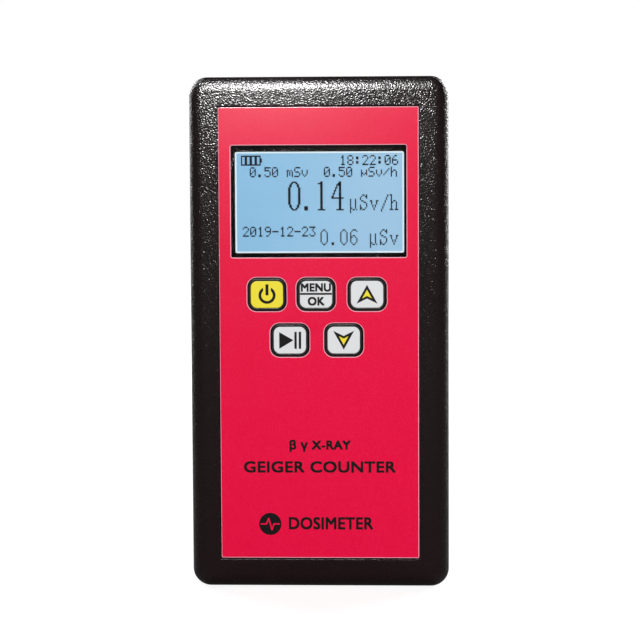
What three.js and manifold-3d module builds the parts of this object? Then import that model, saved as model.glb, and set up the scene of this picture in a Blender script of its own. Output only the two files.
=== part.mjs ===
// Handheld geiger counter: a two-shell case with a graphic overlay, a dot-matrix display, five sprung
// keys, a main board, a Geiger-Mueller tube in clips, and three AAA cells behind a hinged battery door.
// Millimetres. +X is right as the user reads the display, -Y is the front (display) side, +Z is up.
// The origin is the middle of the flat bottom end, on which the instrument stands.
import * as THREE from "three";
import { mergeVertices } from "three/addons/utils/BufferGeometryUtils.js";
import Module from "manifold-3d";

const wasm = await Module();
wasm.setup();

// ---------------------------------------------------------------- driving dimensions
const CASE = { width: 70.7, height: 140, depth: 27, corner: 5, edge: 4, wall: 2.2, frontWall: 2.6 };
const FRONT_Y = -CASE.depth / 2;
const BACK_Y = CASE.depth / 2;
const MID_Z = CASE.height / 2;
const PARTING = { reveal: 0.25, lipHeight: 1.5, lipInset: 1.15, lipWall: 0.95, clearance: 0.15 };
const GAP = 0.1; // between pieces that sit against each other
const ARC_STEPS = 6; // straight steps in a quarter turn of an outline corner
const EDGE_STEPS = 4; // straight steps in the case's rounded edge

const OVERLAY = { width: 54.4, height: 123.5, midZ: 70, thick: 0.4, recess: 0.8, border: 0.2 };
const WINDOW = { width: 47.7, height: 30.4, midZ: 106.2, corner: 0.4 };
const LENS = { margin: 1.4, thick: 0.95, corner: 0.8 };
const LCD = { viewWidth: 46.4, viewHeight: 28.1, midZ: 105.9, glassMargin: 2.1, glassThick: 1.9 };
const LCD_FRAME = { width: 53.6, height: 36.4, wall: 1.3 };
const RIBBON = { halfWidth: 9, thick: 0.2, topY: -8.2, topZ: 89.6, lowZ: 86.5 };
const BACKLIGHT = { thick: 2.65, margin: 1.9 };

const KEY = {
  width: 10, height: 8.5, corner: 2.2, gap: 0.2, faceInset: 0.45, faceThick: 0.38,
  flange: 1.2, flangeThick: 0.7,
};
const KEY_PLACES = {
  power: [-14.2, 80.9], menu: [-0.8, 80.9], up: [13.1, 80.9], play: [-8, 68.4], down: [6.7, 68.4],
};
const SWITCH = { side: 6, height: 3.5, plunger: 1.6, hole: 1.72, holeDepth: 1.1, plungerLength: 1.15 };

const BOARD = { frontY: -5.9, thick: 1.6, halfWidth: 30, bottomZ: 13, topZ: 131.5, notch: 5, notchHeight: 3 };
const BOARD_POSTS = [[-26, 17.5], [26, 17.5], [-20, 128.3], [20, 128.3]];
const BOARD_SCREW = { shank: 0.85, pilot: 0.95, post: 2.2, head: 1.85, headHeight: 1.3, length: 4.2 };

const CASE_SCREW_PLACES = [[-29.5, 6.8], [29.5, 6.8], [-29.5, 133.2], [29.5, 133.2]];
const CASE_SCREW = {
  shank: 1.05, pilot: 1.15, clearance: 1.5, head: 2.6, headHeight: 1.9, counterbore: 2.9,
  seatY: 9, length: 15, boss: 3.3,
};

const CELL = { radius: 5.25, length: 44.5, pitch: 11, nub: 1.9, nubHeight: 0.9, y: 6 };
const BAY = { halfWidth: 16.95, bottomZ: 9.5, topZ: 61.5, floorY: 0.5, wall: 1.3, rimY: 11.5 };
const DOOR = { halfWidth: 18.4, bottomZ: 8.2, topZ: 63.8, thick: 1.8, corner: 1.5, gap: 0.2 };
const HOOK = { midX: 11, halfWidth: 3, reach: 1.9, thick: 0.9, leg: 1.1 };
const THUMB = { radius: 9, flatten: 0.55, narrow: 0.75, proud: 4.1, belowTop: 9 };
const LATCH_SLIT = { midX: 6.5, halfWidth: 0.35, length: 4 };
const CONTACT = {
  thick: 0.4, halfWidth: 4.3, footY: 1.8, rimY: 9.4, standOff: 0.3, springLength: 5.5, wire: 0.35, turns: 4,
};

const TUBE = { x: 25.2, y: 4.6, bottomZ: 22, length: 90, radius: 5, cap: 9, pinLength: 3 };
const SHIELD = { from: 38, to: 96, inner: 5.12, outer: 5.42 };
const CLIP = { width: 4, inner: 5.1, outer: 5.5, openHalfAngle: 0.9 };
const SLOTS = { count: 9, pitch: 4, midZ: 85, width: 10, height: 1.8 };

const BUZZER = { x: -17, z: 108, radius: 6, height: 7.2 };
const SOUND_HOLES = { count: 8, ring: 3.6, radius: 0.9 };
const TRANSFORMER = { x: -9, z: 77, width: 11, height: 9, deep: 8 };
const CAPACITOR = { x: 7, z: 76, radius: 3.1, height: 9 };
const CHIP = { x: -2, z: 98, side: 10, deep: 1.5 };
const CRYSTAL = { x: 11, z: 98, width: 4.6, height: 10.6, deep: 3.4 };

// ---------------------------------------------------------------- solids and shapes
/** A closed three.js geometry as a manifold-3d solid. */
function solidOf(geometry) {
  const bare = geometry.clone();
  bare.deleteAttribute("normal");
  bare.deleteAttribute("uv");
  const merged = mergeVertices(bare, 1e-4);
  return new wasm.Manifold(new wasm.Mesh({
    numProp: 3,
    vertProperties: new Float32Array(merged.attributes.position.array),
    triVerts: new Uint32Array(merged.index.array),
  }));
}

/** A manifold-3d solid as a three.js geometry. */
function geometryOf(solid) {
  const mesh = solid.getMesh();
  const geometry = new THREE.BufferGeometry();
  geometry.setAttribute("position", new THREE.BufferAttribute(mesh.vertProperties, mesh.numProp));
  geometry.setIndex(new THREE.BufferAttribute(mesh.triVerts, 1));
  geometry.computeVertexNormals();
  return geometry;
}

const joined = (first, ...rest) => rest.reduce((all, one) => all.add(one), first);
const cut = (first, ...rest) => rest.reduce((left, one) => left.subtract(one), first);

/** A box between two corners. */
function block([x0, x1], [y0, y1], [z0, z1]) {
  const box = new THREE.BoxGeometry(x1 - x0, y1 - y0, z1 - z0);
  return solidOf(box.translate((x0 + x1) / 2, (y0 + y1) / 2, (z0 + z1) / 2));
}

/** A round bar along Y. */
function barY(x, z, radius, y0, y1, sides = 20) {
  const bar = new THREE.CylinderGeometry(radius, radius, y1 - y0, sides);
  return solidOf(bar.translate(x, (y0 + y1) / 2, z));
}

/** A round bar along Z. */
function barZ(x, y, radius, z0, z1, sides = 20) {
  const bar = new THREE.CylinderGeometry(radius, radius, z1 - z0, sides);
  return solidOf(bar.rotateX(Math.PI / 2).translate(x, y, (z0 + z1) / 2));
}

/** The corner points of a rounded rectangle in the front view, counterclockwise. */
function roundedOutline(width, height, corner, midX = 0, midZ = 0, steps = ARC_STEPS) {
  const points = [];
  const spots = [[1, 1], [-1, 1], [-1, -1], [1, -1]];
  spots.forEach(([sideX, sideZ], quarter) => {
    for (let step = 0; step <= steps; step++) {
      const turn = ((quarter + step / steps) * Math.PI) / 2;
      points.push(new THREE.Vector2(
        midX + sideX * (width / 2 - corner) + corner * Math.cos(turn),
        midZ + sideZ * (height / 2 - corner) + corner * Math.sin(turn),
      ));
    }
  });
  return points;
}

/** The round section of a wire. */
function roundSection(radius, sides) {
  return new THREE.Shape(Array.from({ length: sides }, (_, side) => {
    const turn = (2 * Math.PI * side) / sides;
    return new THREE.Vector2(radius * Math.cos(turn), radius * Math.sin(turn));
  }));
}

/** An outline of the front view, extruded from y0 to y1. */
function slab(outline, y0, y1) {
  const shape = new THREE.Shape(outline);
  const extruded = new THREE.ExtrudeGeometry(shape, { depth: y1 - y0, bevelEnabled: false });
  return solidOf(extruded.rotateX(Math.PI / 2).translate(0, y1, 0));
}

/** An outline of the top view (x, y), extruded from z0 to z1. */
function column(outline, z0, z1) {
  const shape = new THREE.Shape(outline);
  const extruded = new THREE.ExtrudeGeometry(shape, { depth: z1 - z0, bevelEnabled: false });
  return solidOf(extruded.translate(0, 0, z0));
}

/** A convex solid through rounded-rectangle sections of the case, each { y, inset } from its outline. */
function loft(sections) {
  const vertices = [];
  const triangles = [];
  const ringSize = 4 * (ARC_STEPS + 1);
  sections.forEach(({ y, inset }) => {
    const corner = Math.max(CASE.corner - inset, 0.3);
    const outline = roundedOutline(
      CASE.width - 2 * inset, CASE.height - 2 * inset, corner, 0, MID_Z,
    );
    outline.forEach((point) => vertices.push(point.x, y, point.y));
  });
  const corner = (section, index) => section * ringSize + (index % ringSize);
  for (let section = 0; section + 1 < sections.length; section++) {
    for (let index = 0; index < ringSize; index++) {
      const [a, b] = [corner(section, index), corner(section, index + 1)];
      const [c, d] = [corner(section + 1, index), corner(section + 1, index + 1)];
      triangles.push(a, c, b, b, c, d);
    }
  }
  const last = sections.length - 1;
  for (let index = 1; index + 1 < ringSize; index++) {
    triangles.push(corner(0, 0), corner(0, index), corner(0, index + 1));
    triangles.push(corner(last, 0), corner(last, index + 1), corner(last, index));
  }
  const geometry = new THREE.BufferGeometry();
  geometry.setAttribute("position", new THREE.Float32BufferAttribute(vertices, 3));
  geometry.setIndex(triangles);
  return solidOf(geometry);
}

/** Sections of a quarter-round edge that starts at face y and runs towards the parting plane. */
function roundedEdge(faceY, radius, inset) {
  const inwards = -Math.sign(faceY);
  return Array.from({ length: EDGE_STEPS + 1 }, (_, step) => {
    const turn = ((step / EDGE_STEPS) * Math.PI) / 2;
    return {
      y: faceY + inwards * radius * (1 - Math.cos(turn)),
      inset: inset + radius * (1 - Math.sin(turn)),
    };
  });
}

/** Orders sections from front to back, as loft wants them. */
const frontToBack = (sections) => [...sections].sort((a, b) => a.y - b.y);

/** A cross recess for a screw head whose outer face is at y. */
function crossRecess(x, z, y, reach, depth) {
  const arm = 0.35;
  return joined(
    block([x - reach, x + reach], [y - depth, y + 1], [z - arm, z + arm]),
    block([x - arm, x + arm], [y - depth, y + 1], [z - reach, z + reach]),
  );
}

// ---------------------------------------------------------------- case shells
const innerFrontY = FRONT_Y + CASE.frontWall;
const innerBackY = BACK_Y - CASE.wall;
const recessY = FRONT_Y + OVERLAY.recess;
const lensPocketY = recessY + LENS.thick + GAP;
const innerEdge = CASE.edge - CASE.wall;

function keyHole([x, z], grow, y0, y1) {
  const outline = roundedOutline(
    KEY.width + 2 * grow, KEY.height + 2 * grow, KEY.corner + grow, x, z, 4,
  );
  return slab(outline, y0, y1);
}

function frontShell() {
  const outer = loft(frontToBack([
    ...roundedEdge(FRONT_Y, CASE.edge, 0),
    { y: -PARTING.reveal, inset: 0 },
    { y: 0, inset: PARTING.reveal },
  ]));
  const cavity = loft(frontToBack([
    ...roundedEdge(innerFrontY, innerEdge, CASE.wall),
    { y: 1, inset: CASE.wall },
  ]));
  const rabbetInset = PARTING.lipInset - PARTING.clearance;
  const rabbet = loft([
    { y: -PARTING.lipHeight - PARTING.clearance, inset: rabbetInset },
    { y: 1, inset: rabbetInset },
  ]);
  let shell = cut(outer, cavity, rabbet);
  for (const [x, z] of CASE_SCREW_PLACES) {
    shell = joined(shell, barY(x, z, CASE_SCREW.boss, innerFrontY - 0.5, -GAP));
    shell = cut(shell, barY(x, z, CASE_SCREW.pilot, innerFrontY + 1.2, 1, 16));
  }
  for (const [x, z] of BOARD_POSTS) {
    shell = joined(shell, barY(x, z, BOARD_SCREW.post, innerFrontY - 0.5, BOARD.frontY - 0.05, 16));
    shell = cut(shell, barY(x, z, BOARD_SCREW.pilot, innerFrontY + 0.6, 0, 12));
  }
  const recess = roundedOutline(
    OVERLAY.width + 2 * OVERLAY.border, OVERLAY.height + 2 * OVERLAY.border, 0.5, 0, OVERLAY.midZ, 3,
  );
  const pocket = roundedOutline(
    WINDOW.width + 2 * (LENS.margin + OVERLAY.border),
    WINDOW.height + 2 * (LENS.margin + OVERLAY.border),
    LENS.corner, 0, WINDOW.midZ, 3,
  );
  const view = roundedOutline(LCD.viewWidth, LCD.viewHeight, 0.5, 0, LCD.midZ, 3);
  shell = cut(
    shell,
    slab(recess, FRONT_Y - 1, recessY),
    slab(pocket, FRONT_Y - 1, lensPocketY),
    slab(view, FRONT_Y - 1, 0),
  );
  for (const place of Object.values(KEY_PLACES)) {
    shell = cut(shell, keyHole(place, KEY.gap, FRONT_Y - 1, innerFrontY + 1));
  }
  return geometryOf(shell);
}

/** Slots across the tube, through which radiation reaches it. */
function sensorSlots() {
  return Array.from({ length: SLOTS.count }, (_, index) => {
    const z = SLOTS.midZ + (index - (SLOTS.count - 1) / 2) * SLOTS.pitch;
    const outline = roundedOutline(SLOTS.width, SLOTS.height, SLOTS.height / 2 - 0.01, TUBE.x, z, 3);
    return slab(outline, innerBackY - 1, BACK_Y + 1);
  });
}

/** A ring of round sound holes and one in the middle, over the buzzer. */
function soundHoles() {
  const { count, ring, radius } = SOUND_HOLES;
  const hole = (x, z) => barY(x, z, radius, innerBackY - 1, BACK_Y + 1, 12);
  return [hole(BUZZER.x, BUZZER.z), ...Array.from({ length: count }, (_, index) => {
    const turn = (2 * Math.PI * index) / count;
    return hole(BUZZER.x + ring * Math.cos(turn), BUZZER.z + ring * Math.sin(turn));
  })];
}

function batteryBay() {
  const { halfWidth, bottomZ, topZ, floorY, wall, rimY } = BAY;
  return block(
    [-halfWidth - wall, halfWidth + wall], [floorY - wall, rimY], [bottomZ - wall, topZ + wall],
  );
}

function rearShell() {
  const outer = loft(frontToBack([
    { y: 0, inset: PARTING.reveal },
    { y: PARTING.reveal, inset: 0 },
    ...roundedEdge(BACK_Y, CASE.edge, 0),
  ]));
  const lipInset = PARTING.lipInset;
  const lip = loft([{ y: -PARTING.lipHeight, inset: lipInset }, { y: 2, inset: lipInset }]);
  const cavity = loft(frontToBack([
    { y: -3, inset: lipInset + PARTING.lipWall },
    { y: 0, inset: lipInset + PARTING.lipWall },
    { y: 0.4, inset: CASE.wall },
    ...roundedEdge(innerBackY, innerEdge, CASE.wall),
  ]));
  let shell = cut(joined(outer, lip), cavity);
  for (const [x, z] of CASE_SCREW_PLACES) {
    const boss = barY(x, z, CASE_SCREW.boss + 0.2, GAP, innerBackY + 0.5);
    shell = joined(shell, boss);
    shell = cut(
      shell,
      barY(x, z, CASE_SCREW.clearance, -1, BACK_Y + 1, 16),
      barY(x, z, CASE_SCREW.counterbore, CASE_SCREW.seatY, BACK_Y + 1),
    );
  }
  const opening = roundedOutline(
    2 * (DOOR.halfWidth + DOOR.gap), DOOR.topZ - DOOR.bottomZ + 2 * DOOR.gap, DOOR.corner + DOOR.gap,
    0, (DOOR.topZ + DOOR.bottomZ) / 2, 4,
  );
  const { halfWidth, bottomZ, topZ, floorY, rimY } = BAY;
  shell = cut(shell, slab(opening, innerBackY - 0.5, BACK_Y + 1));
  shell = joined(shell, batteryBay());
  shell = cut(
    shell,
    block([-halfWidth, halfWidth], [floorY, rimY + 1], [bottomZ, topZ]),
    ...[-1, 1].map((side) => batteryTabSlot(side)),
    ...TAIL_SLOTS.map(([x, z]) => block([x - 1.7, x + 1.7], [floorY - 3, floorY + 1], [z - 0.5, z + 0.5])),
    ...sensorSlots(),
    ...soundHoles(),
  );
  return geometryOf(shell);
}

// ---------------------------------------------------------------- battery door
/** A notch in the bay's end wall, through which one of the door's two hooks turns under the rear wall. */
function batteryTabSlot(side) {
  const x = side * HOOK.midX;
  return block(
    [x - HOOK.halfWidth - 0.4, x + HOOK.halfWidth + 0.4],
    [CONTACT.rimY - 0.3, BAY.rimY + 1],
    [BAY.bottomZ - BAY.wall - 0.1, BAY.bottomZ + 0.5],
  );
}

function batteryDoor() {
  const innerY = BACK_Y - DOOR.thick;
  const outline = roundedOutline(
    2 * DOOR.halfWidth, DOOR.topZ - DOOR.bottomZ, DOOR.corner, 0, (DOOR.topZ + DOOR.bottomZ) / 2, 4,
  );
  let door = slab(outline, innerY, BACK_Y);
  for (const side of [-1, 1]) {
    const x = side * HOOK.midX;
    const hookY = innerBackY - 0.25;
    door = joined(door, block(
      [x - HOOK.halfWidth, x + HOOK.halfWidth], [hookY - HOOK.thick, innerY + 0.1],
      [DOOR.bottomZ + 0.1, DOOR.bottomZ + HOOK.leg],
    ), block(
      [x - HOOK.halfWidth, x + HOOK.halfWidth], [hookY - HOOK.thick, hookY],
      [DOOR.bottomZ - HOOK.reach, DOOR.bottomZ + HOOK.leg],
    ));
  }
  const thumb = new THREE.SphereGeometry(THUMB.radius, 20, 12).scale(1, THUMB.flatten, THUMB.narrow);
  door = cut(door, solidOf(thumb.translate(0, BACK_Y + THUMB.proud, DOOR.topZ - THUMB.belowTop)));
  for (const side of [-1, 1]) {
    const { midX, halfWidth, length } = LATCH_SLIT;
    door = cut(door, block(
      [side * midX - halfWidth, side * midX + halfWidth],
      [innerY - 1, BACK_Y + 1], [DOOR.topZ - length, DOOR.topZ + 1],
    ));
  }
  return geometryOf(door);
}

// ---------------------------------------------------------------- front overlay and display
function keypadOverlay() {
  const outline = roundedOutline(OVERLAY.width, OVERLAY.height, 0.3, 0, OVERLAY.midZ, 2);
  const opening = roundedOutline(WINDOW.width, WINDOW.height, WINDOW.corner, 0, WINDOW.midZ, 2);
  const [y0, y1] = [recessY - GAP / 2 - OVERLAY.thick, recessY - GAP / 2];
  let sheet = cut(slab(outline, y0, y1), slab(opening, y0 - 1, y1 + 1));
  for (const place of Object.values(KEY_PLACES)) {
    sheet = cut(sheet, keyHole(place, KEY.gap, y0 - 1, y1 + 1));
  }
  return geometryOf(sheet);
}

function displayWindow() {
  const outline = roundedOutline(
    WINDOW.width + 2 * LENS.margin, WINDOW.height + 2 * LENS.margin, LENS.corner, 0, WINDOW.midZ, 3,
  );
  return geometryOf(slab(outline, recessY + GAP / 2, recessY + GAP / 2 + LENS.thick));
}

const glassY = innerFrontY + GAP;
const backlightY = glassY + LCD.glassThick + 0.05;

function rectangle(width, height, midZ, y0, y1) {
  return block([-width / 2, width / 2], [y0, y1], [midZ - height / 2, midZ + height / 2]);
}

function lcdGlass() {
  const [width, height] = [LCD.viewWidth, LCD.viewHeight].map((side) => side + 2 * LCD.glassMargin);
  return geometryOf(rectangle(width, height, LCD.midZ, glassY, glassY + LCD.glassThick));
}

function lcdBacklight() {
  const [width, height] = [LCD.viewWidth, LCD.viewHeight].map((side) => side + 2 * BACKLIGHT.margin);
  return geometryOf(rectangle(width, height, LCD.midZ, backlightY, backlightY + BACKLIGHT.thick));
}

function lcdFrame() {
  const { width, height, wall } = LCD_FRAME;
  const [y0, y1] = [glassY, BOARD.frontY - 0.05];
  const ring = cut(
    rectangle(width, height, LCD.midZ, y0, y1),
    rectangle(width - 2 * wall, height - 2 * wall, LCD.midZ, y0 - 1, y1 + 1),
  );
  const bottom = LCD.midZ - height / 2;
  return geometryOf(cut(ring, block([-RIBBON.halfWidth - 0.3, RIBBON.halfWidth + 0.3],
    [RIBBON.topY - 0.4, y1 + 1], [bottom - 1, bottom + wall + 0.1])));
}

/** The display's ribbon, bent from the cell's lower edge to the board. */
function lcdRibbon() {
  const { halfWidth, thick, topY, topZ, lowZ } = RIBBON;
  const boardY = BOARD.frontY - 0.05;
  const outer = [[topZ, topY], [lowZ, topY], [lowZ, boardY], [topZ - 0.4, boardY]];
  const inner = [
    [topZ - 0.4, boardY - thick], [lowZ + thick, boardY - thick],
    [lowZ + thick, topY + thick], [topZ, topY + thick],
  ];
  const profile = new THREE.Shape([...outer, ...inner].map(([z, y]) => new THREE.Vector2(y, z)));
  const ribbon = new THREE.ExtrudeGeometry(profile, { depth: 2 * halfWidth, bevelEnabled: false });
  // The profile's (y, z) plane is turned so that the extrusion runs along X.
  const turn = new THREE.Matrix4().makeBasis(
    new THREE.Vector3(0, 1, 0), new THREE.Vector3(0, 0, 1), new THREE.Vector3(1, 0, 0),
  );
  return geometryOf(solidOf(ribbon.applyMatrix4(turn).translate(-halfWidth, 0, 0)));
}

// ---------------------------------------------------------------- keys and switches
function keyBody([x, z]) {
  const flangeY = innerFrontY + GAP;
  const cap = keyHole([x, z], 0, FRONT_Y + 0.06, flangeY + 0.1);
  const flange = slab(roundedOutline(
    KEY.width + 2 * KEY.flange, KEY.height + 2 * KEY.flange, KEY.corner + KEY.flange, x, z, 4,
  ), flangeY, flangeY + KEY.flangeThick);
  const seat = keyHole([x, z], 0.03 - KEY.faceInset, FRONT_Y - 1, FRONT_Y + KEY.faceThick + 0.05);
  return geometryOf(cut(joined(cap, flange), seat));
}

function keyFace(place) {
  return geometryOf(keyHole(place, -KEY.faceInset, FRONT_Y, FRONT_Y + KEY.faceThick));
}

const plungerY = innerFrontY + GAP + KEY.flangeThick + 0.05;

function switchBody([x, z]) {
  const half = SWITCH.side / 2;
  const topY = BOARD.frontY - 0.05 - SWITCH.height;
  const body = block([x - half, x + half], [topY, BOARD.frontY - 0.05], [z - half, z + half]);
  return geometryOf(cut(body, barY(x, z, SWITCH.hole, topY - 1, topY + SWITCH.holeDepth, 16)));
}

function switchPlunger([x, z]) {
  return geometryOf(barY(x, z, SWITCH.plunger, plungerY, plungerY + SWITCH.plungerLength, 16));
}

// ---------------------------------------------------------------- main board and its parts
const boardBackY = BOARD.frontY + BOARD.thick;
const partY = boardBackY + 0.05; // where parts on the back of the board start

function mainBoard() {
  const { halfWidth, bottomZ, topZ, notch, notchHeight } = BOARD;
  let board = block([-halfWidth, halfWidth], [BOARD.frontY, boardBackY], [bottomZ, topZ]);
  for (const side of [-1, 1]) {
    const edges = [side * (halfWidth - notch), side * (halfWidth + 1)].sort((a, b) => a - b);
    board = cut(board, block(edges, [BOARD.frontY - 1, boardBackY + 1], [topZ - notchHeight, topZ + 1]));
  }
  for (const [x, z] of BOARD_POSTS) board = cut(board, barY(x, z, 1.2, BOARD.frontY - 1, boardBackY + 1, 12));
  return geometryOf(board);
}

function boardScrew([x, z]) {
  const headTop = partY + BOARD_SCREW.headHeight;
  const screw = joined(
    barY(x, z, BOARD_SCREW.head, partY, headTop, 16),
    barY(x, z, BOARD_SCREW.shank, partY - BOARD_SCREW.length, partY + 0.1, 12),
  );
  return geometryOf(cut(screw, crossRecess(x, z, headTop, 1.1, 0.7)));
}

function caseScrew([x, z]) {
  const seat = CASE_SCREW.seatY + 0.05;
  const headTop = seat + CASE_SCREW.headHeight;
  const screw = joined(
    barY(x, z, CASE_SCREW.head, seat, headTop),
    barY(x, z, CASE_SCREW.shank, seat - CASE_SCREW.length, seat + 0.1, 12),
  );
  return geometryOf(cut(screw, crossRecess(x, z, headTop, 1.6, 1)));
}

function buzzer() {
  const { x, z, radius, height } = BUZZER;
  const top = partY + height;
  return geometryOf(cut(
    barY(x, z, radius, partY, top, 24), barY(x, z, 1, top - 1.2, top + 1, 16),
  ));
}

/** A ferrite core with its winding bobbin standing out on both sides. */
function hvTransformer() {
  const { x, z, width, height, deep } = TRANSFORMER;
  return geometryOf(joined(
    block([x - width / 2, x + width / 2], [partY, partY + deep], [z - height / 2, z + height / 2]),
    barZ(x, partY + deep / 2, deep * 0.42, z - height / 2 - 1.8, z + height / 2 + 1.8, 20),
  ));
}

const hvCapacitor = () =>
  geometryOf(barY(CAPACITOR.x, CAPACITOR.z, CAPACITOR.radius, partY, partY + CAPACITOR.height, 24));

function microcontroller() {
  const { x, z, side, deep } = CHIP;
  return geometryOf(block([x - side / 2, x + side / 2], [partY, partY + deep], [z - side / 2, z + side / 2]));
}

function crystal() {
  const { x, z, width, height, deep } = CRYSTAL;
  return geometryOf(slab(roundedOutline(width, height, width / 2 - 0.01, x, z, 6), partY, partY + deep));
}

// ---------------------------------------------------------------- Geiger-Mueller tube
/** A solid of revolution about the tube's axis, from points of radius and height above the tube's foot. */
function aboutTube(profile, sides = 20) {
  const points = profile.map(([radius, height]) => new THREE.Vector2(radius, height));
  const turned = new THREE.LatheGeometry(points, sides).rotateX(Math.PI / 2);
  return solidOf(turned.translate(TUBE.x, TUBE.y, TUBE.bottomZ));
}

function gmTube() {
  const ends = [TUBE.bottomZ + TUBE.cap + 0.05, TUBE.bottomZ + TUBE.length - TUBE.cap - 0.05];
  return geometryOf(barZ(TUBE.x, TUBE.y, TUBE.radius - 0.25, ...ends));
}

/** An end cap with a rounded shoulder and a contact pin; flip puts it at the tube's top end. */
function tubeCap(flip) {
  const { radius, cap, pinLength, length } = TUBE;
  const pin = 0.9, shoulder = 1;
  const profile = [
    [0, -pinLength], [pin, -pinLength], [pin, 0], [radius - shoulder, 0],
    [radius - 0.3, 0.3], [radius, shoulder], [radius, cap], [0, cap],
  ];
  const placed = flip ? profile.map(([r, height]) => [r, length - height]).reverse() : profile;
  return geometryOf(aboutTube(placed));
}

function tubeShield() {
  const [low, high] = [SHIELD.from - TUBE.bottomZ, SHIELD.to - TUBE.bottomZ];
  const { inner, outer } = SHIELD;
  return geometryOf(aboutTube([[inner, low], [outer, low], [outer, high], [inner, high], [inner, low]]));
}

/** A sprung clip: an open ring round the tube's cap on a stem that stands on the board. */
function tubeClip(midZ) {
  const ring = [];
  const steps = 14;
  const from = Math.PI / 2 + CLIP.openHalfAngle, sweep = 2 * (Math.PI - CLIP.openHalfAngle);
  const onRing = (radius, step) => {
    const turn = from + (sweep * step) / steps;
    return new THREE.Vector2(TUBE.x + radius * Math.cos(turn), TUBE.y + radius * Math.sin(turn));
  };
  for (let step = 0; step <= steps; step++) ring.push(onRing(CLIP.outer, step));
  for (let step = steps; step >= 0; step--) ring.push(onRing(CLIP.inner, step));
  const [z0, z1] = [midZ - CLIP.width / 2, midZ + CLIP.width / 2];
  const under = TUBE.y - (CLIP.inner + CLIP.outer) / 2;
  return geometryOf(joined(
    column(ring, z0, z1),
    block([TUBE.x - 1.4, TUBE.x + 1.4], [partY, under], [z0, z1]),
    block([TUBE.x - 3.2, TUBE.x + 3.2], [partY, partY + 0.5], [z0, z1]),
  ));
}

// ---------------------------------------------------------------- cells and contacts
/** Where each cell stands and whether its positive end is up. The three are wired in series. */
const CELLS = [-1, 0, 1].map((index) => ({ x: index * CELL.pitch, positiveUp: index === 0 }));
const contactLowZ = BAY.bottomZ + CONTACT.standOff;
const contactHighZ = BAY.topZ - CONTACT.standOff;
const TAIL_SLOTS = [
  [-CELL.pitch, contactHighZ - CONTACT.thick / 2], [CELL.pitch, contactLowZ + CONTACT.thick / 2],
];

/** The height of the cell's negative end: the spring between it and its contact plate is compressed. */
function cellSpan(positiveUp) {
  const spring = CONTACT.thick + CONTACT.springLength;
  return positiveUp
    ? { flat: contactLowZ + spring, up: 1 }
    : { flat: contactHighZ - spring, up: -1 };
}

function batteryCell({ x, positiveUp }) {
  const { flat, up } = cellSpan(positiveUp);
  const can = CELL.length - CELL.nubHeight;
  const spanOf = (from, to) => [flat + up * from, flat + up * to].sort((a, b) => a - b);
  return geometryOf(joined(
    barZ(x, CELL.y, CELL.radius, ...spanOf(0.05, can), 24),
    barZ(x, CELL.y, CELL.nub, ...spanOf(can - 0.2, CELL.length - 0.05), 16),
  ));
}

/** A contact plate on one end wall of the bay, wide enough for the cells it joins. */
function contactPlate(cells, top) {
  const xs = cells.map((cell) => cell.x);
  const spanX = [Math.min(...xs) - CONTACT.halfWidth, Math.max(...xs) + CONTACT.halfWidth];
  const lowZ = top ? contactHighZ - CONTACT.thick : contactLowZ;
  const spanZ = [lowZ, lowZ + CONTACT.thick];
  return block(spanX, [CONTACT.footY, CONTACT.rimY], spanZ);
}

/** A conical wire spring from a contact plate to a cell's flat end. */
class ConeSpring extends THREE.Curve {
  constructor(x, plateZ, up) {
    super();
    Object.assign(this, { x, plateZ, up });
  }

  getPoint(share, target = new THREE.Vector3()) {
    const turn = share * CONTACT.turns * 2 * Math.PI;
    const radius = 3.5 - 1.7 * share;
    const rise = 0.2 + share * (CONTACT.springLength - 0.75);
    return target.set(
      this.x + radius * Math.cos(turn), CELL.y + radius * Math.sin(turn), this.plateZ + this.up * rise,
    );
  }
}

function contactSpring(x, top) {
  const plateZ = top ? contactHighZ - CONTACT.thick : contactLowZ + CONTACT.thick;
  return solidOf(new THREE.ExtrudeGeometry(roundSection(CONTACT.wire, 5), {
    steps: CONTACT.turns * 10, extrudePath: new ConeSpring(x, plateZ, top ? -1 : 1), bevelEnabled: false,
  }));
}

/** A plate's solder tail, which passes through the bay's floor. */
function contactTail([x, z]) {
  const half = CONTACT.thick / 2;
  return block([x - 1.4, x + 1.4], [BAY.floorY - BAY.wall - 0.5, CELL.y], [z - half, z + half]);
}

const CONTACTS = {
  battery_contact_negative: () => joined(
    contactPlate([CELLS[0]], true), contactSpring(CELLS[0].x, true), contactTail(TAIL_SLOTS[0]),
  ),
  battery_contact_link_top: () => joined(
    contactPlate([CELLS[1], CELLS[2]], true), contactSpring(CELLS[2].x, true),
  ),
  battery_contact_link_bottom: () => joined(
    contactPlate([CELLS[0], CELLS[1]], false), contactSpring(CELLS[1].x, false),
  ),
  battery_contact_positive: () => joined(contactPlate([CELLS[2]], false), contactTail(TAIL_SLOTS[1])),
};

/** An insulated lead from a contact's tail to a pad on the back of the board. */
function batteryLead([x, z], [padX, padZ]) {
  const tailY = BAY.floorY - BAY.wall - 0.5;
  const radius = 0.5;
  const route = new THREE.CatmullRomCurve3([
    new THREE.Vector3(x, tailY - radius - 0.1, z),
    new THREE.Vector3((x + padX) / 2, (tailY + boardBackY) / 2 - 0.1, (z + padZ) / 2),
    new THREE.Vector3(padX, boardBackY + radius + 0.25, padZ),
  ]);
  return geometryOf(solidOf(new THREE.ExtrudeGeometry(roundSection(radius, 8), {
    steps: 8, extrudePath: route, bevelEnabled: false,
  })));
}

// ---------------------------------------------------------------- materials and assembly
function finish(color, roughness, metalness = 0) {
  return new THREE.MeshStandardMaterial({ color, roughness, metalness });
}

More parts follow.
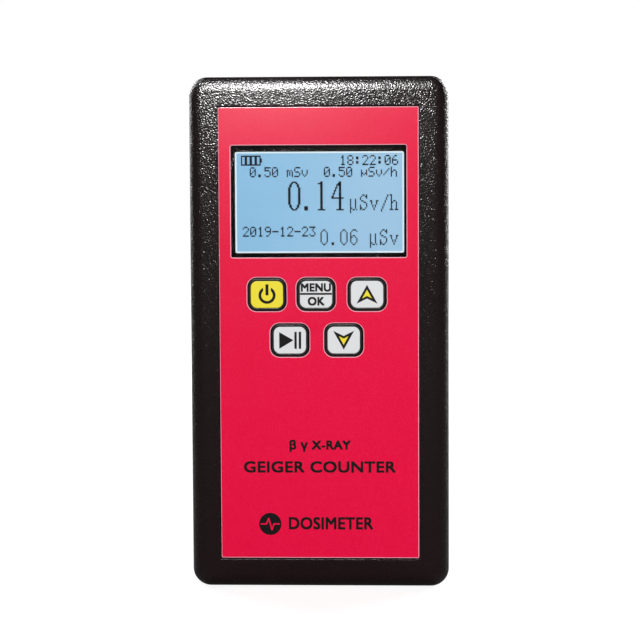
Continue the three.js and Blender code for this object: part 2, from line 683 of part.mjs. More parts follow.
const MATERIALS = {
  case: finish(0x1b1718, 0.55),
  overlay: finish(0xd9043c, 0.45),
  clear: finish(0xdfe8ee, 0.05),
  lcd: finish(0x8fc4ea, 0.15),
  backlight: finish(0xf2f2ee, 0.5),
  black: finish(0x101011, 0.4),
  white: finish(0xe4e5e6, 0.4),
  yellow: finish(0xf2dd12, 0.4),
  board: finish(0x1d5a34, 0.45),
  steel: finish(0xc3c6ca, 0.3, 1),
  copper: finish(0xc8803a, 0.35, 0.8),
  glass: finish(0x8a7d6c, 0.15, 0.3),
  tin: finish(0x9da1a6, 0.35, 1),
  aluminium: finish(0xb9bcc2, 0.35, 1),
  ribbon: finish(0xc78a2c, 0.4),
  red: finish(0xb01818, 0.5),
  cell: finish(0x2a4f9a, 0.35, 0.2),
};

const counter = new THREE.Group();

function add(name, geometry, material) {
  const mesh = new THREE.Mesh(geometry, material);
  mesh.name = name;
  counter.add(mesh);
}

add("front_shell", frontShell(), MATERIALS.case);
add("rear_shell", rearShell(), MATERIALS.case);
add("battery_door", batteryDoor(), MATERIALS.case);
add("keypad_overlay", keypadOverlay(), MATERIALS.overlay);
add("display_window", displayWindow(), MATERIALS.clear);
add("lcd_glass", lcdGlass(), MATERIALS.lcd);
add("lcd_backlight", lcdBacklight(), MATERIALS.backlight);
add("lcd_frame", lcdFrame(), MATERIALS.black);
add("lcd_ribbon", lcdRibbon(), MATERIALS.ribbon);

for (const [name, place] of Object.entries(KEY_PLACES)) {
  add(`${name}_key`, keyBody(place), MATERIALS.black);
  add(`${name}_key_face`, keyFace(place), name === "power" ? MATERIALS.yellow : MATERIALS.white);
  add(`${name}_switch`, switchBody(place), MATERIALS.steel);
  add(`${name}_switch_plunger`, switchPlunger(place), MATERIALS.black);
}

add("main_board", mainBoard(), MATERIALS.board);
BOARD_POSTS.forEach((place, index) => {
  add(`board_screw_${index + 1}`, boardScrew(place), MATERIALS.steel);
});
CASE_SCREW_PLACES.forEach((place, index) => {
  add(`case_screw_${index + 1}`, caseScrew(place), MATERIALS.steel);
});
add("buzzer", buzzer(), MATERIALS.black);
add("hv_transformer", hvTransformer(), MATERIALS.copper);
add("hv_capacitor", hvCapacitor(), MATERIALS.aluminium);
add("microcontroller", microcontroller(), MATERIALS.black);
add("crystal", crystal(), MATERIALS.steel);

add("gm_tube", gmTube(), MATERIALS.glass);
add("gm_tube_cathode_cap", tubeCap(false), MATERIALS.steel);
add("gm_tube_anode_cap", tubeCap(true), MATERIALS.steel);
add("tube_shield", tubeShield(), MATERIALS.tin);
add("tube_clip_bottom", tubeClip(TUBE.bottomZ + TUBE.cap / 2), MATERIALS.copper);
add("tube_clip_top", tubeClip(TUBE.bottomZ + TUBE.length - TUBE.cap / 2), MATERIALS.copper);

CELLS.forEach((cell, index) => add(`battery_cell_${index + 1}`, batteryCell(cell), MATERIALS.cell));
for (const [name, make] of Object.entries(CONTACTS)) add(name, geometryOf(make()), MATERIALS.steel);
add("battery_lead_negative", batteryLead(TAIL_SLOTS[0], [-15, 66]), MATERIALS.black);
add("battery_lead_positive", batteryLead(TAIL_SLOTS[1], [15, 15.5]), MATERIALS.red);

export default counter;
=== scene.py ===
"""Handheld geiger counter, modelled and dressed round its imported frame.

Sizes are named in millimetres and meshes are made in metres, in the frame's own axes: +X is right as
the user reads the display, -Y is the front and +Z is up. Places come from the boxes of the frame's
nodes. Each sub-assembly is a class, and each finish is a small frozen dataclass.
"""
from __future__ import annotations

import logging
import math
from contextlib import contextmanager
from dataclasses import dataclass
from enum import Enum
from typing import Callable, Iterator, Sequence

import bmesh
import bpy
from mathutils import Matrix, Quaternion, Vector


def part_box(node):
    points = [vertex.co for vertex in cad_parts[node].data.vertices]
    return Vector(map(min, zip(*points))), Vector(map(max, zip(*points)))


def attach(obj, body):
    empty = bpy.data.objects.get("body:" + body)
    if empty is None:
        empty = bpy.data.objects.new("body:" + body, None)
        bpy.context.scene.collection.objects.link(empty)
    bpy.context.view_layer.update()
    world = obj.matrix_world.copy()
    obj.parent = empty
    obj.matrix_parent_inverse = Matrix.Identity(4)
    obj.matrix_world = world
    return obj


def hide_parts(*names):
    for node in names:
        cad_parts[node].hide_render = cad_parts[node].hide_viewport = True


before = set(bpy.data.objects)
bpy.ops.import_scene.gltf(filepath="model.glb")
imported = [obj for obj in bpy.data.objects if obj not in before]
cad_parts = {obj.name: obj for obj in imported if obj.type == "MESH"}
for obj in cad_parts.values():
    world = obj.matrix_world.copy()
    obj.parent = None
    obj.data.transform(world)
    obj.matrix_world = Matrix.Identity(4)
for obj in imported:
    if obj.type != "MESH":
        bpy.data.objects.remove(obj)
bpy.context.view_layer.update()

MM = 0.001
NEAR = 0.002 * MM
DOUBLES = 0.0005 * MM
STRAIGHT = 0.999
CUT_PAST = 1.0
BITE = 0.1
FLAT = 0.01
LOG = logging.getLogger("geiger_counter")

Piece = bpy.types.Object
Test = Callable[[object], bool]


class Element(Enum):
    """What a selection in edit mode is made of."""

    EDGE = "EDGE"
    FACE = "FACE"


class Axis(Enum):
    """An axis of the frame, by its place in a vector."""

    X = 0
    Y = 1
    Z = 2


# ---------------------------------------------------------------- places in the frame
@dataclass(frozen=True)
class Span:
    """A box in the frame, in millimetres."""

    low: Vector
    high: Vector

    @classmethod
    def of(cls, node: str) -> Span:
        """The box of a frame node."""
        low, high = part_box(node)
        return cls(low / MM, high / MM)

    @property
    def middle(self) -> Vector:
        """The centre of the box."""
        return (self.low + self.high) / 2

    @property
    def size(self) -> Vector:
        """The three sides of the box."""
        return self.high - self.low

    def grown(self, x: float, y: float, z: float) -> Span:
        """The box with each side moved outwards by the given amounts."""
        more = Vector((x, y, z))
        return Span(self.low - more, self.high + more)

    def between(self, y0: float, y1: float) -> Span:
        """The same outline in the front view, from one depth to another."""
        low, high = self.low.copy(), self.high.copy()
        low.y, high.y = y0, y1
        return Span(low, high)


# ---------------------------------------------------------------- modelling with operators
def pick(*pieces: Piece) -> None:
    """Selects only these pieces and makes the first one active."""
    if bpy.context.object and bpy.context.object.mode != "OBJECT":
        bpy.ops.object.mode_set(mode="OBJECT")
    bpy.ops.object.select_all(action="DESELECT")
    for piece in pieces:
        piece.select_set(True)
    if pieces:
        bpy.context.view_layer.objects.active = pieces[0]


def settle(name: str) -> Piece:
    """Names the newest object and moves its place, turn and scale into its mesh.

    Args:
        name: The object's name from here on.

    Returns:
        The object.
    """
    piece = bpy.context.object
    piece.name = name
    piece.data.name = name
    pick(piece)
    bpy.ops.object.transform_apply(location=True, rotation=True, scale=True)
    return piece


def block(name: str, span: Span) -> Piece:
    """A box that fills a span of the frame."""
    pick()
    bpy.ops.mesh.primitive_cube_add(size=1, location=span.middle * MM, scale=span.size * MM)
    return settle(name)


def bar(name: str, foot: Vector, tip: Vector, radius: float, sides: int = 32,
        end: float | None = None) -> Piece:
    """A round bar between two points.

    Args:
        name: The new piece's name.
        foot: The centre of its first end, in millimetres.
        tip: The centre of its second end.
        radius: Its radius at the foot.
        sides: How many sides its section has.
        end: Its radius at the tip, or None for an even bar.

    Returns:
        The new piece.
    """
    pick()
    run = Vector(tip) - Vector(foot)
    bpy.ops.mesh.primitive_cone_add(
        vertices=sides, radius1=radius * MM, radius2=(radius if end is None else end) * MM,
        depth=run.length * MM, location=(Vector(foot) + Vector(tip)) / 2 * MM,
        rotation=run.to_track_quat("Z", "Y").to_euler(),
    )
    return settle(name)


@contextmanager
def shaping(piece: Piece, kind: Element, test: Test) -> Iterator[None]:
    """Opens a piece in edit mode with only the elements that pass a test selected.

    Args:
        piece: The piece to shape.
        kind: Whether edges or faces are tested.
        test: Says of one element whether it is selected.
    """
    pick(piece)
    bpy.ops.object.mode_set(mode="EDIT")
    bpy.ops.mesh.select_mode(type=kind.value)
    bpy.ops.mesh.select_all(action="DESELECT")
    mesh = bmesh.from_edit_mesh(piece.data)
    for element in mesh.edges if kind is Element.EDGE else mesh.faces:
        if test(element):
            element.select_set(True)
    mesh.select_flush_mode()
    bmesh.update_edit_mesh(piece.data)
    yield
    bpy.ops.object.mode_set(mode="OBJECT")


def parallel(axis: Axis) -> Test:
    """Edges that run along an axis."""
    def test(edge: bmesh.types.BMEdge) -> bool:
        run = edge.verts[1].co - edge.verts[0].co
        return abs(run[axis.value]) > STRAIGHT * run.length
    return test


def in_plane(axis: Axis, place: float) -> Test:
    """Elements that lie wholly at one place along an axis, in millimetres."""
    def test(element: bmesh.types.BMEdge | bmesh.types.BMFace) -> bool:
        return all(abs(vertex.co[axis.value] - place * MM) < NEAR for vertex in element.verts)
    return test


def sharp(within: Test, degrees: float = 30) -> Test:
    """Edges of a selection whose two faces meet at more than an angle."""
    def test(edge: bmesh.types.BMEdge) -> bool:
        return within(edge) and edge.calc_face_angle(0) > math.radians(degrees)
    return test


def bevel(piece: Piece, test: Test, width: float, segments: int, material: int = -1) -> Piece:
    """Rounds the edges that pass a test.

    Args:
        piece: The piece to shape.
        test: Picks its edges.
        width: How far the rounding reaches from each edge, in millimetres.
        segments: How many strips round it.
        material: The slot of the new faces, or -1 for that of their neighbours.

    Returns:
        The piece.
    """
    with shaping(piece, Element.EDGE, test):
        bpy.ops.mesh.bevel(offset=width * MM, segments=segments, profile=0.5, affect="EDGES",
                           material=material)
    return piece


def rounded(name: str, span: Span, corner: float, segments: int = 6) -> Piece:
    """A slab whose outline in the front view has round corners."""
    return bevel(block(name, span), parallel(Axis.Y), corner, segments)


def combine(piece: Piece, operation: str, others: Sequence[Piece]) -> Piece:
    """Applies one boolean for each of the other pieces, and removes them.

    Args:
        piece: The piece that stays.
        operation: DIFFERENCE or UNION.
        others: The pieces that are cut away or joined on.

    Returns:
        The piece.
    """
    for other in others:
        pick(piece)
        step = piece.modifiers.new("combine", "BOOLEAN")
        step.operation = operation
        step.solver = "EXACT"
        step.object = other
        bpy.ops.object.modifier_apply(modifier=step.name)
        bpy.data.objects.remove(other)
    return piece


def carve(piece: Piece, *cutters: Piece) -> Piece:
    """Cuts pieces away from a piece."""
    return combine(piece, "DIFFERENCE", cutters)


def weld(piece: Piece, *others: Piece) -> Piece:
    """Makes pieces one closed body."""
    return combine(piece, "UNION", others)


def gather(name: str, *pieces: Piece) -> Piece:
    """Joins pieces that don't touch into one mesh."""
    pick(*pieces)
    if len(pieces) > 1:
        bpy.ops.object.join()
    return settle(name)


def clean(piece: Piece) -> None:
    """Merges doubles and turns faces outwards."""
    with shaping(piece, Element.FACE, lambda face: True):
        bpy.ops.mesh.remove_doubles(threshold=DOUBLES)
        bpy.ops.mesh.normals_make_consistent(inside=False)


def thicken(depth: float) -> None:
    """Makes the open mesh in edit mode a closed body, a depth in millimetres towards the back."""
    bpy.ops.mesh.select_all(action="SELECT")
    bpy.ops.mesh.extrude_region_move(TRANSFORM_OT_translate={"value": (0, depth * MM, 0)})
    bpy.ops.mesh.select_all(action="SELECT")
    bpy.ops.mesh.normals_make_consistent(inside=False)


def second_slot(piece: Piece) -> None:
    """Gives a piece a second material slot."""
    piece.data.materials.append(None)
    piece.data.materials.append(None)


def put_in_second_slot() -> None:
    """Gives the faces selected in edit mode the second material slot."""
    bpy.context.object.active_material_index = 1
    bpy.ops.object.material_slot_assign()


def polish(piece: Piece, degrees: float = 35) -> Piece:
    """Cleans a piece and shades its rounded parts smoothly."""
    clean(piece)
    bpy.ops.object.shade_smooth_by_angle(angle=math.radians(degrees))
    step = piece.modifiers.new("normals", "WEIGHTED_NORMAL")
    step.keep_sharp = True
    bpy.ops.object.modifier_apply(modifier=step.name)
    return piece


def twin(piece: Piece, name: str, shift: Vector) -> Piece:
    """A copy of a piece with a mesh of its own, moved by a shift in millimetres."""
    pick(piece)
    bpy.ops.object.duplicate(linked=False)
    bpy.context.object.location = shift * MM
    return settle(name)


def deliver(piece: Piece, body: str, finishes: Sequence[Finish],
            replaced: Sequence[str] = ()) -> Piece:
    """Dresses a finished piece and hands it to the frame.

    Args:
        piece: The finished piece.
        body: The body that it moves with.
        finishes: One finish for each of its material slots.
        replaced: The frame nodes that it stands for.

    Returns:
        The piece.
    """
    dress(piece, finishes)
    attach(piece, body)
    if replaced:
        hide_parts(*replaced)
    LOG.info("%s: %d faces on %s", piece.name, len(piece.data.polygons), body)
    return piece


def dress(piece: Piece, finishes: Sequence[Finish]) -> None:
    """Gives a piece's material slots their finishes, and adds the slots that are missing."""
    while len(piece.material_slots) < len(finishes):
        piece.data.materials.append(None)
    for slot, finish in zip(piece.material_slots, finishes):
        slot.material = finish.material()


# ---------------------------------------------------------------- node trees
class Graph:
    """A node tree with short ways to add nodes and link them."""

    def __init__(self, tree: bpy.types.NodeTree) -> None:
        """Takes the tree to build in."""
        self.tree = tree

    def add(self, kind: str, inputs: dict | None = None, **settings: object) -> bpy.types.Node:
        """Adds a node.

        Args:
            kind: The node's type name without its ShaderNode prefix.
            inputs: Values or output sockets for its inputs, by name or number.
            **settings: Properties of the node itself.

        Returns:
            The new node.
        """
        node = self.tree.nodes.new("ShaderNode" + kind)
        for name, value in settings.items():
            setattr(node, name, value)
        for key, value in (inputs or {}).items():
            self.feed(node.inputs[key], value)
        return node

    def feed(self, socket: bpy.types.NodeSocket, value: object) -> None:
        """Links an output socket to an input, or sets the input's own value."""
        if isinstance(value, bpy.types.NodeSocket):
            self.tree.links.new(value, socket)
        else:
            socket.default_value = value

    def math(self, operation: str, first: object, second: object = 0.0) -> bpy.types.NodeSocket:
        """The result of a Math node."""
        return self.add("Math", {0: first, 1: second}, operation=operation).outputs[0]

    def span(self, value: object, low: float, high: float, start: float = 0.0, stop: float = 1.0,
             ease: str = "SMOOTHSTEP") -> bpy.types.NodeSocket:
        """A value's place between low and high, as a number from start to stop."""
        inputs = {"Value": value, "From Min": low, "From Max": high, "To Min": start, "To Max": stop}
        return self.add("MapRange", inputs, interpolation_type=ease).outputs[0]

    def blend(self, share: object, first: object, second: object) -> bpy.types.NodeSocket:
        """A mix of two colours."""
        return self.add("Mix", {0: share, 6: first, 7: second}, data_type="RGBA").outputs[2]

    def noise(self, place: object, size: float, detail: float = 2.0,
              rough: float = 0.5) -> bpy.types.NodeSocket:
        """Soft noise whose patches are about the given size in millimetres."""
        inputs = {"Vector": place, "Scale": 1 / (size * MM), "Detail": detail, "Roughness": rough}
        return self.add("TexNoise", inputs).outputs["Fac"]

    def place(self) -> bpy.types.NodeSocket:
        """The point on the piece, in the frame."""
        return self.add("TexCoord").outputs["Object"]

    def group(self, tree: bpy.types.NodeTree, inputs: dict) -> bpy.types.Node:
        """Places a shared node group with its own values."""
        node = self.tree.nodes.new("ShaderNodeGroup")
        node.node_tree = tree
        for key, value in inputs.items():
            self.feed(node.inputs[key], value)
        return node

    def bump(self, height: object, depth: float) -> bpy.types.NodeSocket:
        """A normal from a height of 0 to 1 that stands for a depth in millimetres."""
        return self.add("Bump", {"Strength": 1.0, "Distance": depth * MM, "Height": height}).outputs[0]


class SharedEffect:
    """A shader node group that several finishes place, built once."""

    name = ""
    inputs: dict[str, str] = {}
    outputs: dict[str, str] = {}

    @classmethod
    def tree(cls) -> bpy.types.NodeTree:
        """The group's node tree, made the first time it is asked for."""
        found = bpy.data.node_groups.get(cls.name)
        if found:
            return found
        tree = bpy.data.node_groups.new(cls.name, "ShaderNodeTree")
        for label, kind in cls.inputs.items():
            tree.interface.new_socket(label, in_out="INPUT", socket_type="NodeSocket" + kind)
        for label, kind in cls.outputs.items():
            tree.interface.new_socket(label, in_out="OUTPUT", socket_type="NodeSocket" + kind)
        graph = Graph(tree)
        given = tree.nodes.new("NodeGroupInput").outputs
        result = tree.nodes.new("NodeGroupOutput").inputs
        cls.wire(graph, given, result)
        return tree

    @classmethod
    def wire(cls, graph: Graph, given: bpy.types.NodeOutputs, result: bpy.types.NodeInputs) -> None:
        """Builds the nodes between the group's inputs and outputs."""
        raise NotImplementedError


class SparkGrain(SharedEffect):
    """The fine pebbled grain that a spark-eroded mould leaves on plastic."""

    name = "spark_grain"
    inputs = {"Place": "Vector", "Scale": "Float"}
    outputs = {"Height": "Float", "Raised": "Float"}

    @classmethod
    def wire(cls, graph: Graph, given: bpy.types.NodeOutputs, result: bpy.types.NodeInputs) -> None:
        """Mixes rounded pebbles with noise of the same size."""
        inputs = {"Vector": given["Place"], "Scale": given["Scale"], "Smoothness": 0.35}
        pebbles = graph.add("TexVoronoi", inputs, feature="SMOOTH_F1").outputs["Distance"]
        rounds = graph.span(pebbles, 0.05, 0.75, 1.0, 0.0)
        soft = graph.add("TexNoise", {"Vector": given["Place"], "Scale": given["Scale"], "Detail": 0.0})
        waves = graph.span(soft.outputs["Fac"], 0.3, 0.7, 0.0, 1.0, "LINEAR")
        halves = [graph.math("MULTIPLY", part, 0.5) for part in (rounds, waves)]
        graph.feed(result["Height"], graph.math("ADD", *halves))
        graph.feed(result["Raised"], waves)


class EdgeWear(SharedEffect):
    """Paler, smoother plastic where an edge has been handled."""

    name = "edge_wear"
    inputs = {"Place": "Vector", "Amount": "Float"}
    outputs = {"Mask": "Float"}

    @classmethod
    def wire(cls, graph: Graph, given: bpy.types.NodeOutputs, result: bpy.types.NodeInputs) -> None:
        """Keeps the convex edges, broken up by noise."""
        pointed = graph.add("NewGeometry").outputs["Pointiness"]
        edges = graph.span(pointed, 0.52, 0.62)
        patches = graph.span(graph.noise(given["Place"], 2.2, 4.0, 0.7), 0.42, 0.66)
        worn = graph.math("MULTIPLY", edges, patches)
        graph.feed(result["Mask"], graph.math("MULTIPLY", worn, given["Amount"]))


class Handling(SharedEffect):
    """Uneven gloss from touch, and a trace of dust on faces that look up."""

    name = "handling"
    inputs = {"Place": "Vector", "Smudge": "Float", "Dust": "Float"}
    outputs = {"Gloss": "Float", "Dust": "Float"}

    @classmethod
    def wire(cls, graph: Graph, given: bpy.types.NodeOutputs, result: bpy.types.NodeInputs) -> None:
        """Large soft patches for touch, and specks on upward faces for dust."""
        patches = graph.span(graph.noise(given["Place"], 14.0, 5.0, 0.6), 0.35, 0.7, -0.5, 0.5, "LINEAR")
        graph.feed(result["Gloss"], graph.math("MULTIPLY", patches, given["Smudge"]))
        up = graph.add("SeparateXYZ", {0: graph.add("NewGeometry").outputs["Normal"]}).outputs["Z"]
        specks = graph.span(graph.noise(given["Place"], 0.5, 3.0, 0.7), 0.55, 0.75)
        lying = graph.math("MULTIPLY", graph.span(up, 0.2, 0.9), specks)
        graph.feed(result["Dust"], graph.math("MULTIPLY", lying, given["Dust"]))


# ---------------------------------------------------------------- finishes
Colour = tuple[float, float, float, float]


def tint(red: float, green: float, blue: float) -> Colour:
    """A linear colour with full cover."""
    return (red, green, blue, 1.0)


WHITE = tint(1.0, 1.0, 1.0)
DUST = tint(0.45, 0.43, 0.4)
HOLLOW_SHADE = 0.72
WEAR_POLISH = 0.15


@dataclass(frozen=True)
class Finish:
    """A named surface; each kind of finish builds its own nodes."""

    name: str

    def material(self) -> bpy.types.Material:
        """The material of this finish, made the first time it is asked for."""
        found = bpy.data.materials.get(self.name)
        if found:
            return found
        made = bpy.data.materials.new(self.name)
        made.use_nodes = True
        made.node_tree.nodes.clear()
        graph = Graph(made.node_tree)
        shader = graph.add("BsdfPrincipled")
        output = graph.add("OutputMaterial")
        made.node_tree.links.new(shader.outputs[0], output.inputs["Surface"])
        self.wire(graph, shader.inputs)
        return made

    def wire(self, graph: Graph, shader: bpy.types.NodeInputs) -> None:
        """Builds the nodes that feed the Principled shader's inputs."""
        raise NotImplementedError


@dataclass(frozen=True)
class Moulded(Finish):
    """Injection-moulded plastic with a mould grain, painted shade in the grain's hollows, handled edges and a
    trace of dust.
    """

    colour: Colour
    worn: Colour
    roughness: float
    grain: float = 0.3
    depth: float = 0.01
    wear: float = 0.35
    dust: float = 0.02
    smudge: float = 0.12
    level: float = 0.5

    def wire(self, graph: Graph, shader: bpy.types.NodeInputs) -> None:
        """Colour from painted shade in the grain's hollows, wear and dust; roughness from touch; bump from
        the grain.
        """
        place = graph.place()
        grain = graph.group(SparkGrain.tree(), {"Place": place, "Scale": 1 / (self.grain * MM)}).outputs
        wear = graph.group(EdgeWear.tree(), {"Place": place, "Amount": self.wear}).outputs["Mask"]
        touch = {"Place": place, "Smudge": self.smudge, "Dust": self.dust}
        handled = graph.group(Handling.tree(), touch).outputs
        # Painted shade: where the grain is low, the colour is darkened to HOLLOW_SHADE of itself.
        deep = tint(*(HOLLOW_SHADE * part for part in self.colour[:3]))
        body = graph.blend(grain["Raised"], deep, self.colour)
        body = graph.blend(wear, body, self.worn)
        graph.feed(shader["Base Color"], graph.blend(handled["Dust"], body, DUST))
        rough = graph.math("ADD", handled["Gloss"], self.roughness)
        rubbed = graph.math("MULTIPLY", wear, WEAR_POLISH)
        graph.feed(shader["Roughness"], graph.math("SUBTRACT", rough, rubbed))
        graph.feed(shader["Normal"], graph.bump(grain["Height"], self.depth))
        shader["Specular IOR Level"].default_value = self.level


@dataclass(frozen=True)
class PrintedSheet(Finish):
    """A reverse-printed polycarbonate sheet with a fine matt texture."""

    colour: Colour
    pale: Colour
    roughness: float = 0.52
    texture: float = 0.22
    depth: float = 0.006
    level: float = 0.24
    fleck: Colour = tint(1.0, 0.16, 0.26)
    cloud_size: float = 9.0
    smudge: float = 0.08
    dust: float = 0.01

    def wire(self, graph: Graph, shader: bpy.types.NodeInputs) -> None:
        """An even ink with faint clouding under a fine texture."""
        place = graph.place()
        grain = graph.group(SparkGrain.tree(), {"Place": place, "Scale": 1 / (self.texture * MM)}).outputs
        touch = {"Place": place, "Smudge": self.smudge, "Dust": self.dust}
        handled = graph.group(Handling.tree(), touch).outputs
        clouds = graph.span(graph.noise(place, self.cloud_size, 5.0, 0.65), 0.35, 0.75, 0.0, 0.25)
        ink = graph.blend(clouds, self.colour, self.pale)
        flecks = graph.span(grain["Raised"], 0.75, 1.0, 0.0, 0.12)
        graph.feed(shader["Base Color"], graph.blend(flecks, ink, self.fleck))
        graph.feed(shader["Roughness"], graph.math("ADD", handled["Gloss"], self.roughness))
        graph.feed(shader["Normal"], graph.bump(grain["Height"], self.depth))
        shader["Specular IOR Level"].default_value = self.level


@dataclass(frozen=True)
class Clear(Finish):
    """Clear acrylic or glass, with faint wiping marks in its gloss."""

    colour: Colour
    ior: float = 1.49
    roughness: float = 0.0
    mark_size: float = 3.0
    mark_rise: float = 0.02
    cast_size: float = 20.0

    def wire(self, graph: Graph, shader: bpy.types.NodeInputs) -> None:
        """Transmission with a slightly uneven gloss and cast."""
        place = graph.place()
        wiped = graph.noise(place, self.mark_size, 6.0, 0.75)
        marks = graph.span(wiped, 0.5, 0.8, 0.0, self.mark_rise)
        cast = graph.span(graph.noise(place, self.cast_size, 2.0), 0.3, 0.7, 0.0, 1.0)
        graph.feed(shader["Base Color"], graph.blend(cast, self.colour, WHITE))
        graph.feed(shader["Roughness"], graph.math("ADD", marks, self.roughness))
        shader["Transmission Weight"].default_value = 1.0
        shader["IOR"].default_value = self.ior


@dataclass(frozen=True)
class Metal(Finish):
    """Plated or bare metal with fine drawing lines and dulled patches."""

    colour: Colour
    dull: Colour
    roughness: float = 0.28
    line: float = 0.12
    depth: float = 0.002
    tarnish_size: float = 2.5
    rise: float = 0.18

    def wire(self, graph: Graph, shader: bpy.types.NodeInputs) -> None:
        """Stretched noise for the lines and soft noise for tarnish."""
        place = graph.place()
        stretched = graph.add("Mapping", {"Vector": place, "Scale": (1.0, 1.0, 0.08)}).outputs[0]
        lines = graph.noise(stretched, self.line, 3.0, 0.6)
        patches = graph.span(graph.noise(place, self.tarnish_size, 5.0, 0.65), 0.4, 0.75)
        graph.feed(shader["Base Color"], graph.blend(patches, self.colour, self.dull))
        rough = graph.span(lines, 0.2, 0.8, self.roughness, self.roughness + self.rise, "LINEAR")
        graph.feed(shader["Roughness"], rough)
        graph.feed(shader["Normal"], graph.bump(lines, self.depth))
        shader["Metallic"].default_value = 1.0


@dataclass(frozen=True)
class LitPanel(Finish):
    """The lit face of the display, paler along the edges of its view."""

    colour: Colour
    pale: Colour
    view: Span
    right: Colour = tint(0.365, 0.595, 0.80)
    mottle: Colour = tint(0.27, 0.55, 0.83)
    glass: Colour = tint(0.02, 0.03, 0.035)
    glass_pale: Colour = tint(0.03, 0.04, 0.05)
    line_outer: float = 0.315
    line_inner: float = 0.525
    roughness: float = 0.35
    glow: float = 1.0

    def wire(self, graph: Graph, shader: bpy.types.NodeInputs) -> None:
        """Light blue with a white line just inside the view, and a slow change from side to side."""
        place = graph.place()
        parts = graph.add("SeparateXYZ", {0: place}).outputs
        middle, half = self.view.middle * MM, self.view.size / 2 * MM
        across = graph.math("ABSOLUTE", graph.math("SUBTRACT", parts["X"], middle.x))
        along = graph.math("ABSOLUTE", graph.math("SUBTRACT", parts["Z"], middle.z))
        past_side, past_end = graph.math("SUBTRACT", across, half.x), graph.math("SUBTRACT", along, half.z)
        out = graph.math("MAXIMUM", past_side, past_end)
        line = graph.span(out, -self.line_inner * MM, -self.line_outer * MM)
        side = graph.span(parts["X"], -half.x, half.x, 0.0, 1.0)
        grain = graph.span(graph.noise(place, 1.6, 4.0, 0.7), 0.35, 0.7, 0.0, 0.16)
        body = graph.blend(side, self.colour, self.right)
        body = graph.blend(grain, body, self.mottle)
        graph.feed(shader["Emission Color"], graph.blend(line, body, self.pale))
        shader["Emission Strength"].default_value = self.glow
        graph.feed(shader["Base Color"], graph.blend(grain, self.glass, self.glass_pale))
        shader["Roughness"].default_value = self.roughness


@dataclass(frozen=True)
class CircuitBoard(Finish):
    """Green solder mask over copper tracks, with tinned pads."""

    mask: Colour
    track: Colour
    mask_deep: Colour = tint(0.012, 0.1, 0.04)
    pad: Colour = tint(0.62, 0.6, 0.56)
    track_scale: float = 260.0
    pad_scale: float = 330.0
    depth: float = 0.03

    def wire(self, graph: Graph, shader: bpy.types.NodeInputs) -> None:
        """Tracks from a stepped brick pattern and pads from round cells."""
        place = graph.place()
        turned = graph.add("Mapping", {"Vector": place, "Rotation": (math.pi / 2, 0.0, 0.0)}).outputs[0]
        bricks = {"Vector": turned, "Scale": self.track_scale, "Mortar Size": 0.045,
                  "Color1": tint(0, 0, 0), "Color2": tint(0, 0, 0), "Mortar": WHITE}
        lines = graph.add("TexBrick", bricks, offset_frequency=3).outputs["Color"]
        cells = graph.add("TexVoronoi", {"Vector": turned, "Scale": self.pad_scale}).outputs["Distance"]
        pads = graph.span(cells, 0.14, 0.18, 1.0, 0.0)
        clouds = graph.span(graph.noise(place, 4.0, 4.0), 0.3, 0.7)
        tracked = graph.blend(lines, graph.blend(clouds, self.mask, self.mask_deep), self.track)
        graph.feed(shader["Base Color"], graph.blend(pads, tracked, self.pad))
        graph.feed(shader["Metallic"], pads)
        graph.feed(shader["Roughness"], graph.span(pads, 0.0, 1.0, 0.35, 0.22))
        graph.feed(shader["Normal"], graph.bump(graph.math("MAXIMUM", lines, pads), self.depth))


@dataclass(frozen=True)
class Sleeve(Finish):
    """The printed sleeve of a cell: a coloured body with a bright band round one end."""

    body: Colour
    band: Colour
    from_z: float
    upward: bool
    piping: Colour = tint(0.85, 0.85, 0.86)
    scuff: Colour = tint(0.4, 0.42, 0.46)
    soft: float = 0.03
    piping_inner: float = 0.35
    piping_outer: float = 0.42
    depth: float = 0.004

    def wire(self, graph: Graph, shader: bpy.types.NodeInputs) -> None:
        """A band above a height, with a thin pale line at its edge."""
        place = graph.place()
        height = graph.add("SeparateXYZ", {0: place}).outputs["Z"]
        low, high = (0.0, 1.0) if self.upward else (1.0, 0.0)
        banded = graph.span(height, (self.from_z - self.soft) * MM, (self.from_z + self.soft) * MM, low, high)
        away = graph.math("ABSOLUTE", graph.math("SUBTRACT", height, self.from_z * MM))
        line = graph.span(away, self.piping_inner * MM, self.piping_outer * MM, 1.0, 0.0)
        scuffs = graph.span(graph.noise(place, 1.4, 6.0, 0.75), 0.55, 0.8, 0.0, 0.3)
        colour = graph.blend(line, graph.blend(banded, self.body, self.band), self.piping)
        graph.feed(shader["Base Color"], graph.blend(scuffs, colour, self.scuff))
        graph.feed(shader["Metallic"], graph.span(banded, 0.0, 1.0, 0.15, 0.75))
        graph.feed(shader["Roughness"], graph.span(scuffs, 0.0, 0.3, 0.24, 0.42))
        graph.feed(shader["Normal"], graph.bump(scuffs, self.depth))


CASE_BLACK = Moulded("case_black", tint(0.0095, 0.0036, 0.004), tint(0.03, 0.026, 0.026), 0.3, 0.45, 0.13,
                     wear=0.2, smudge=0.03)
KEY_BLACK = Moulded("key_black", tint(0.006, 0.006, 0.0065), tint(0.03, 0.03, 0.03), 0.45, 0.2, 0.004)
KEY_YELLOW = Moulded("key_yellow", tint(0.98, 0.82, 0.004), tint(0.95, 0.86, 0.3), 0.4, 0.22, 0.004,
                     smudge=0.06)
KEY_WHITE = Moulded("key_white", tint(0.84, 0.86, 0.85), tint(0.95, 0.95, 0.95), 0.4, 0.22, 0.004,
                    smudge=0.06)
BLACK_INK = Moulded("black_ink", tint(0.006, 0.0045, 0.005), tint(0.03, 0.02, 0.02), 0.4, 0.16, 0.002,
                    wear=0.0)
SWITCH_BLACK = Moulded("switch_black", tint(0.012, 0.012, 0.013), tint(0.05, 0.05, 0.05), 0.5, 0.2, 0.004)
DIFFUSER = Moulded("diffuser_white", tint(0.78, 0.8, 0.8), tint(0.9, 0.9, 0.9), 0.45, 0.5, 0.004)
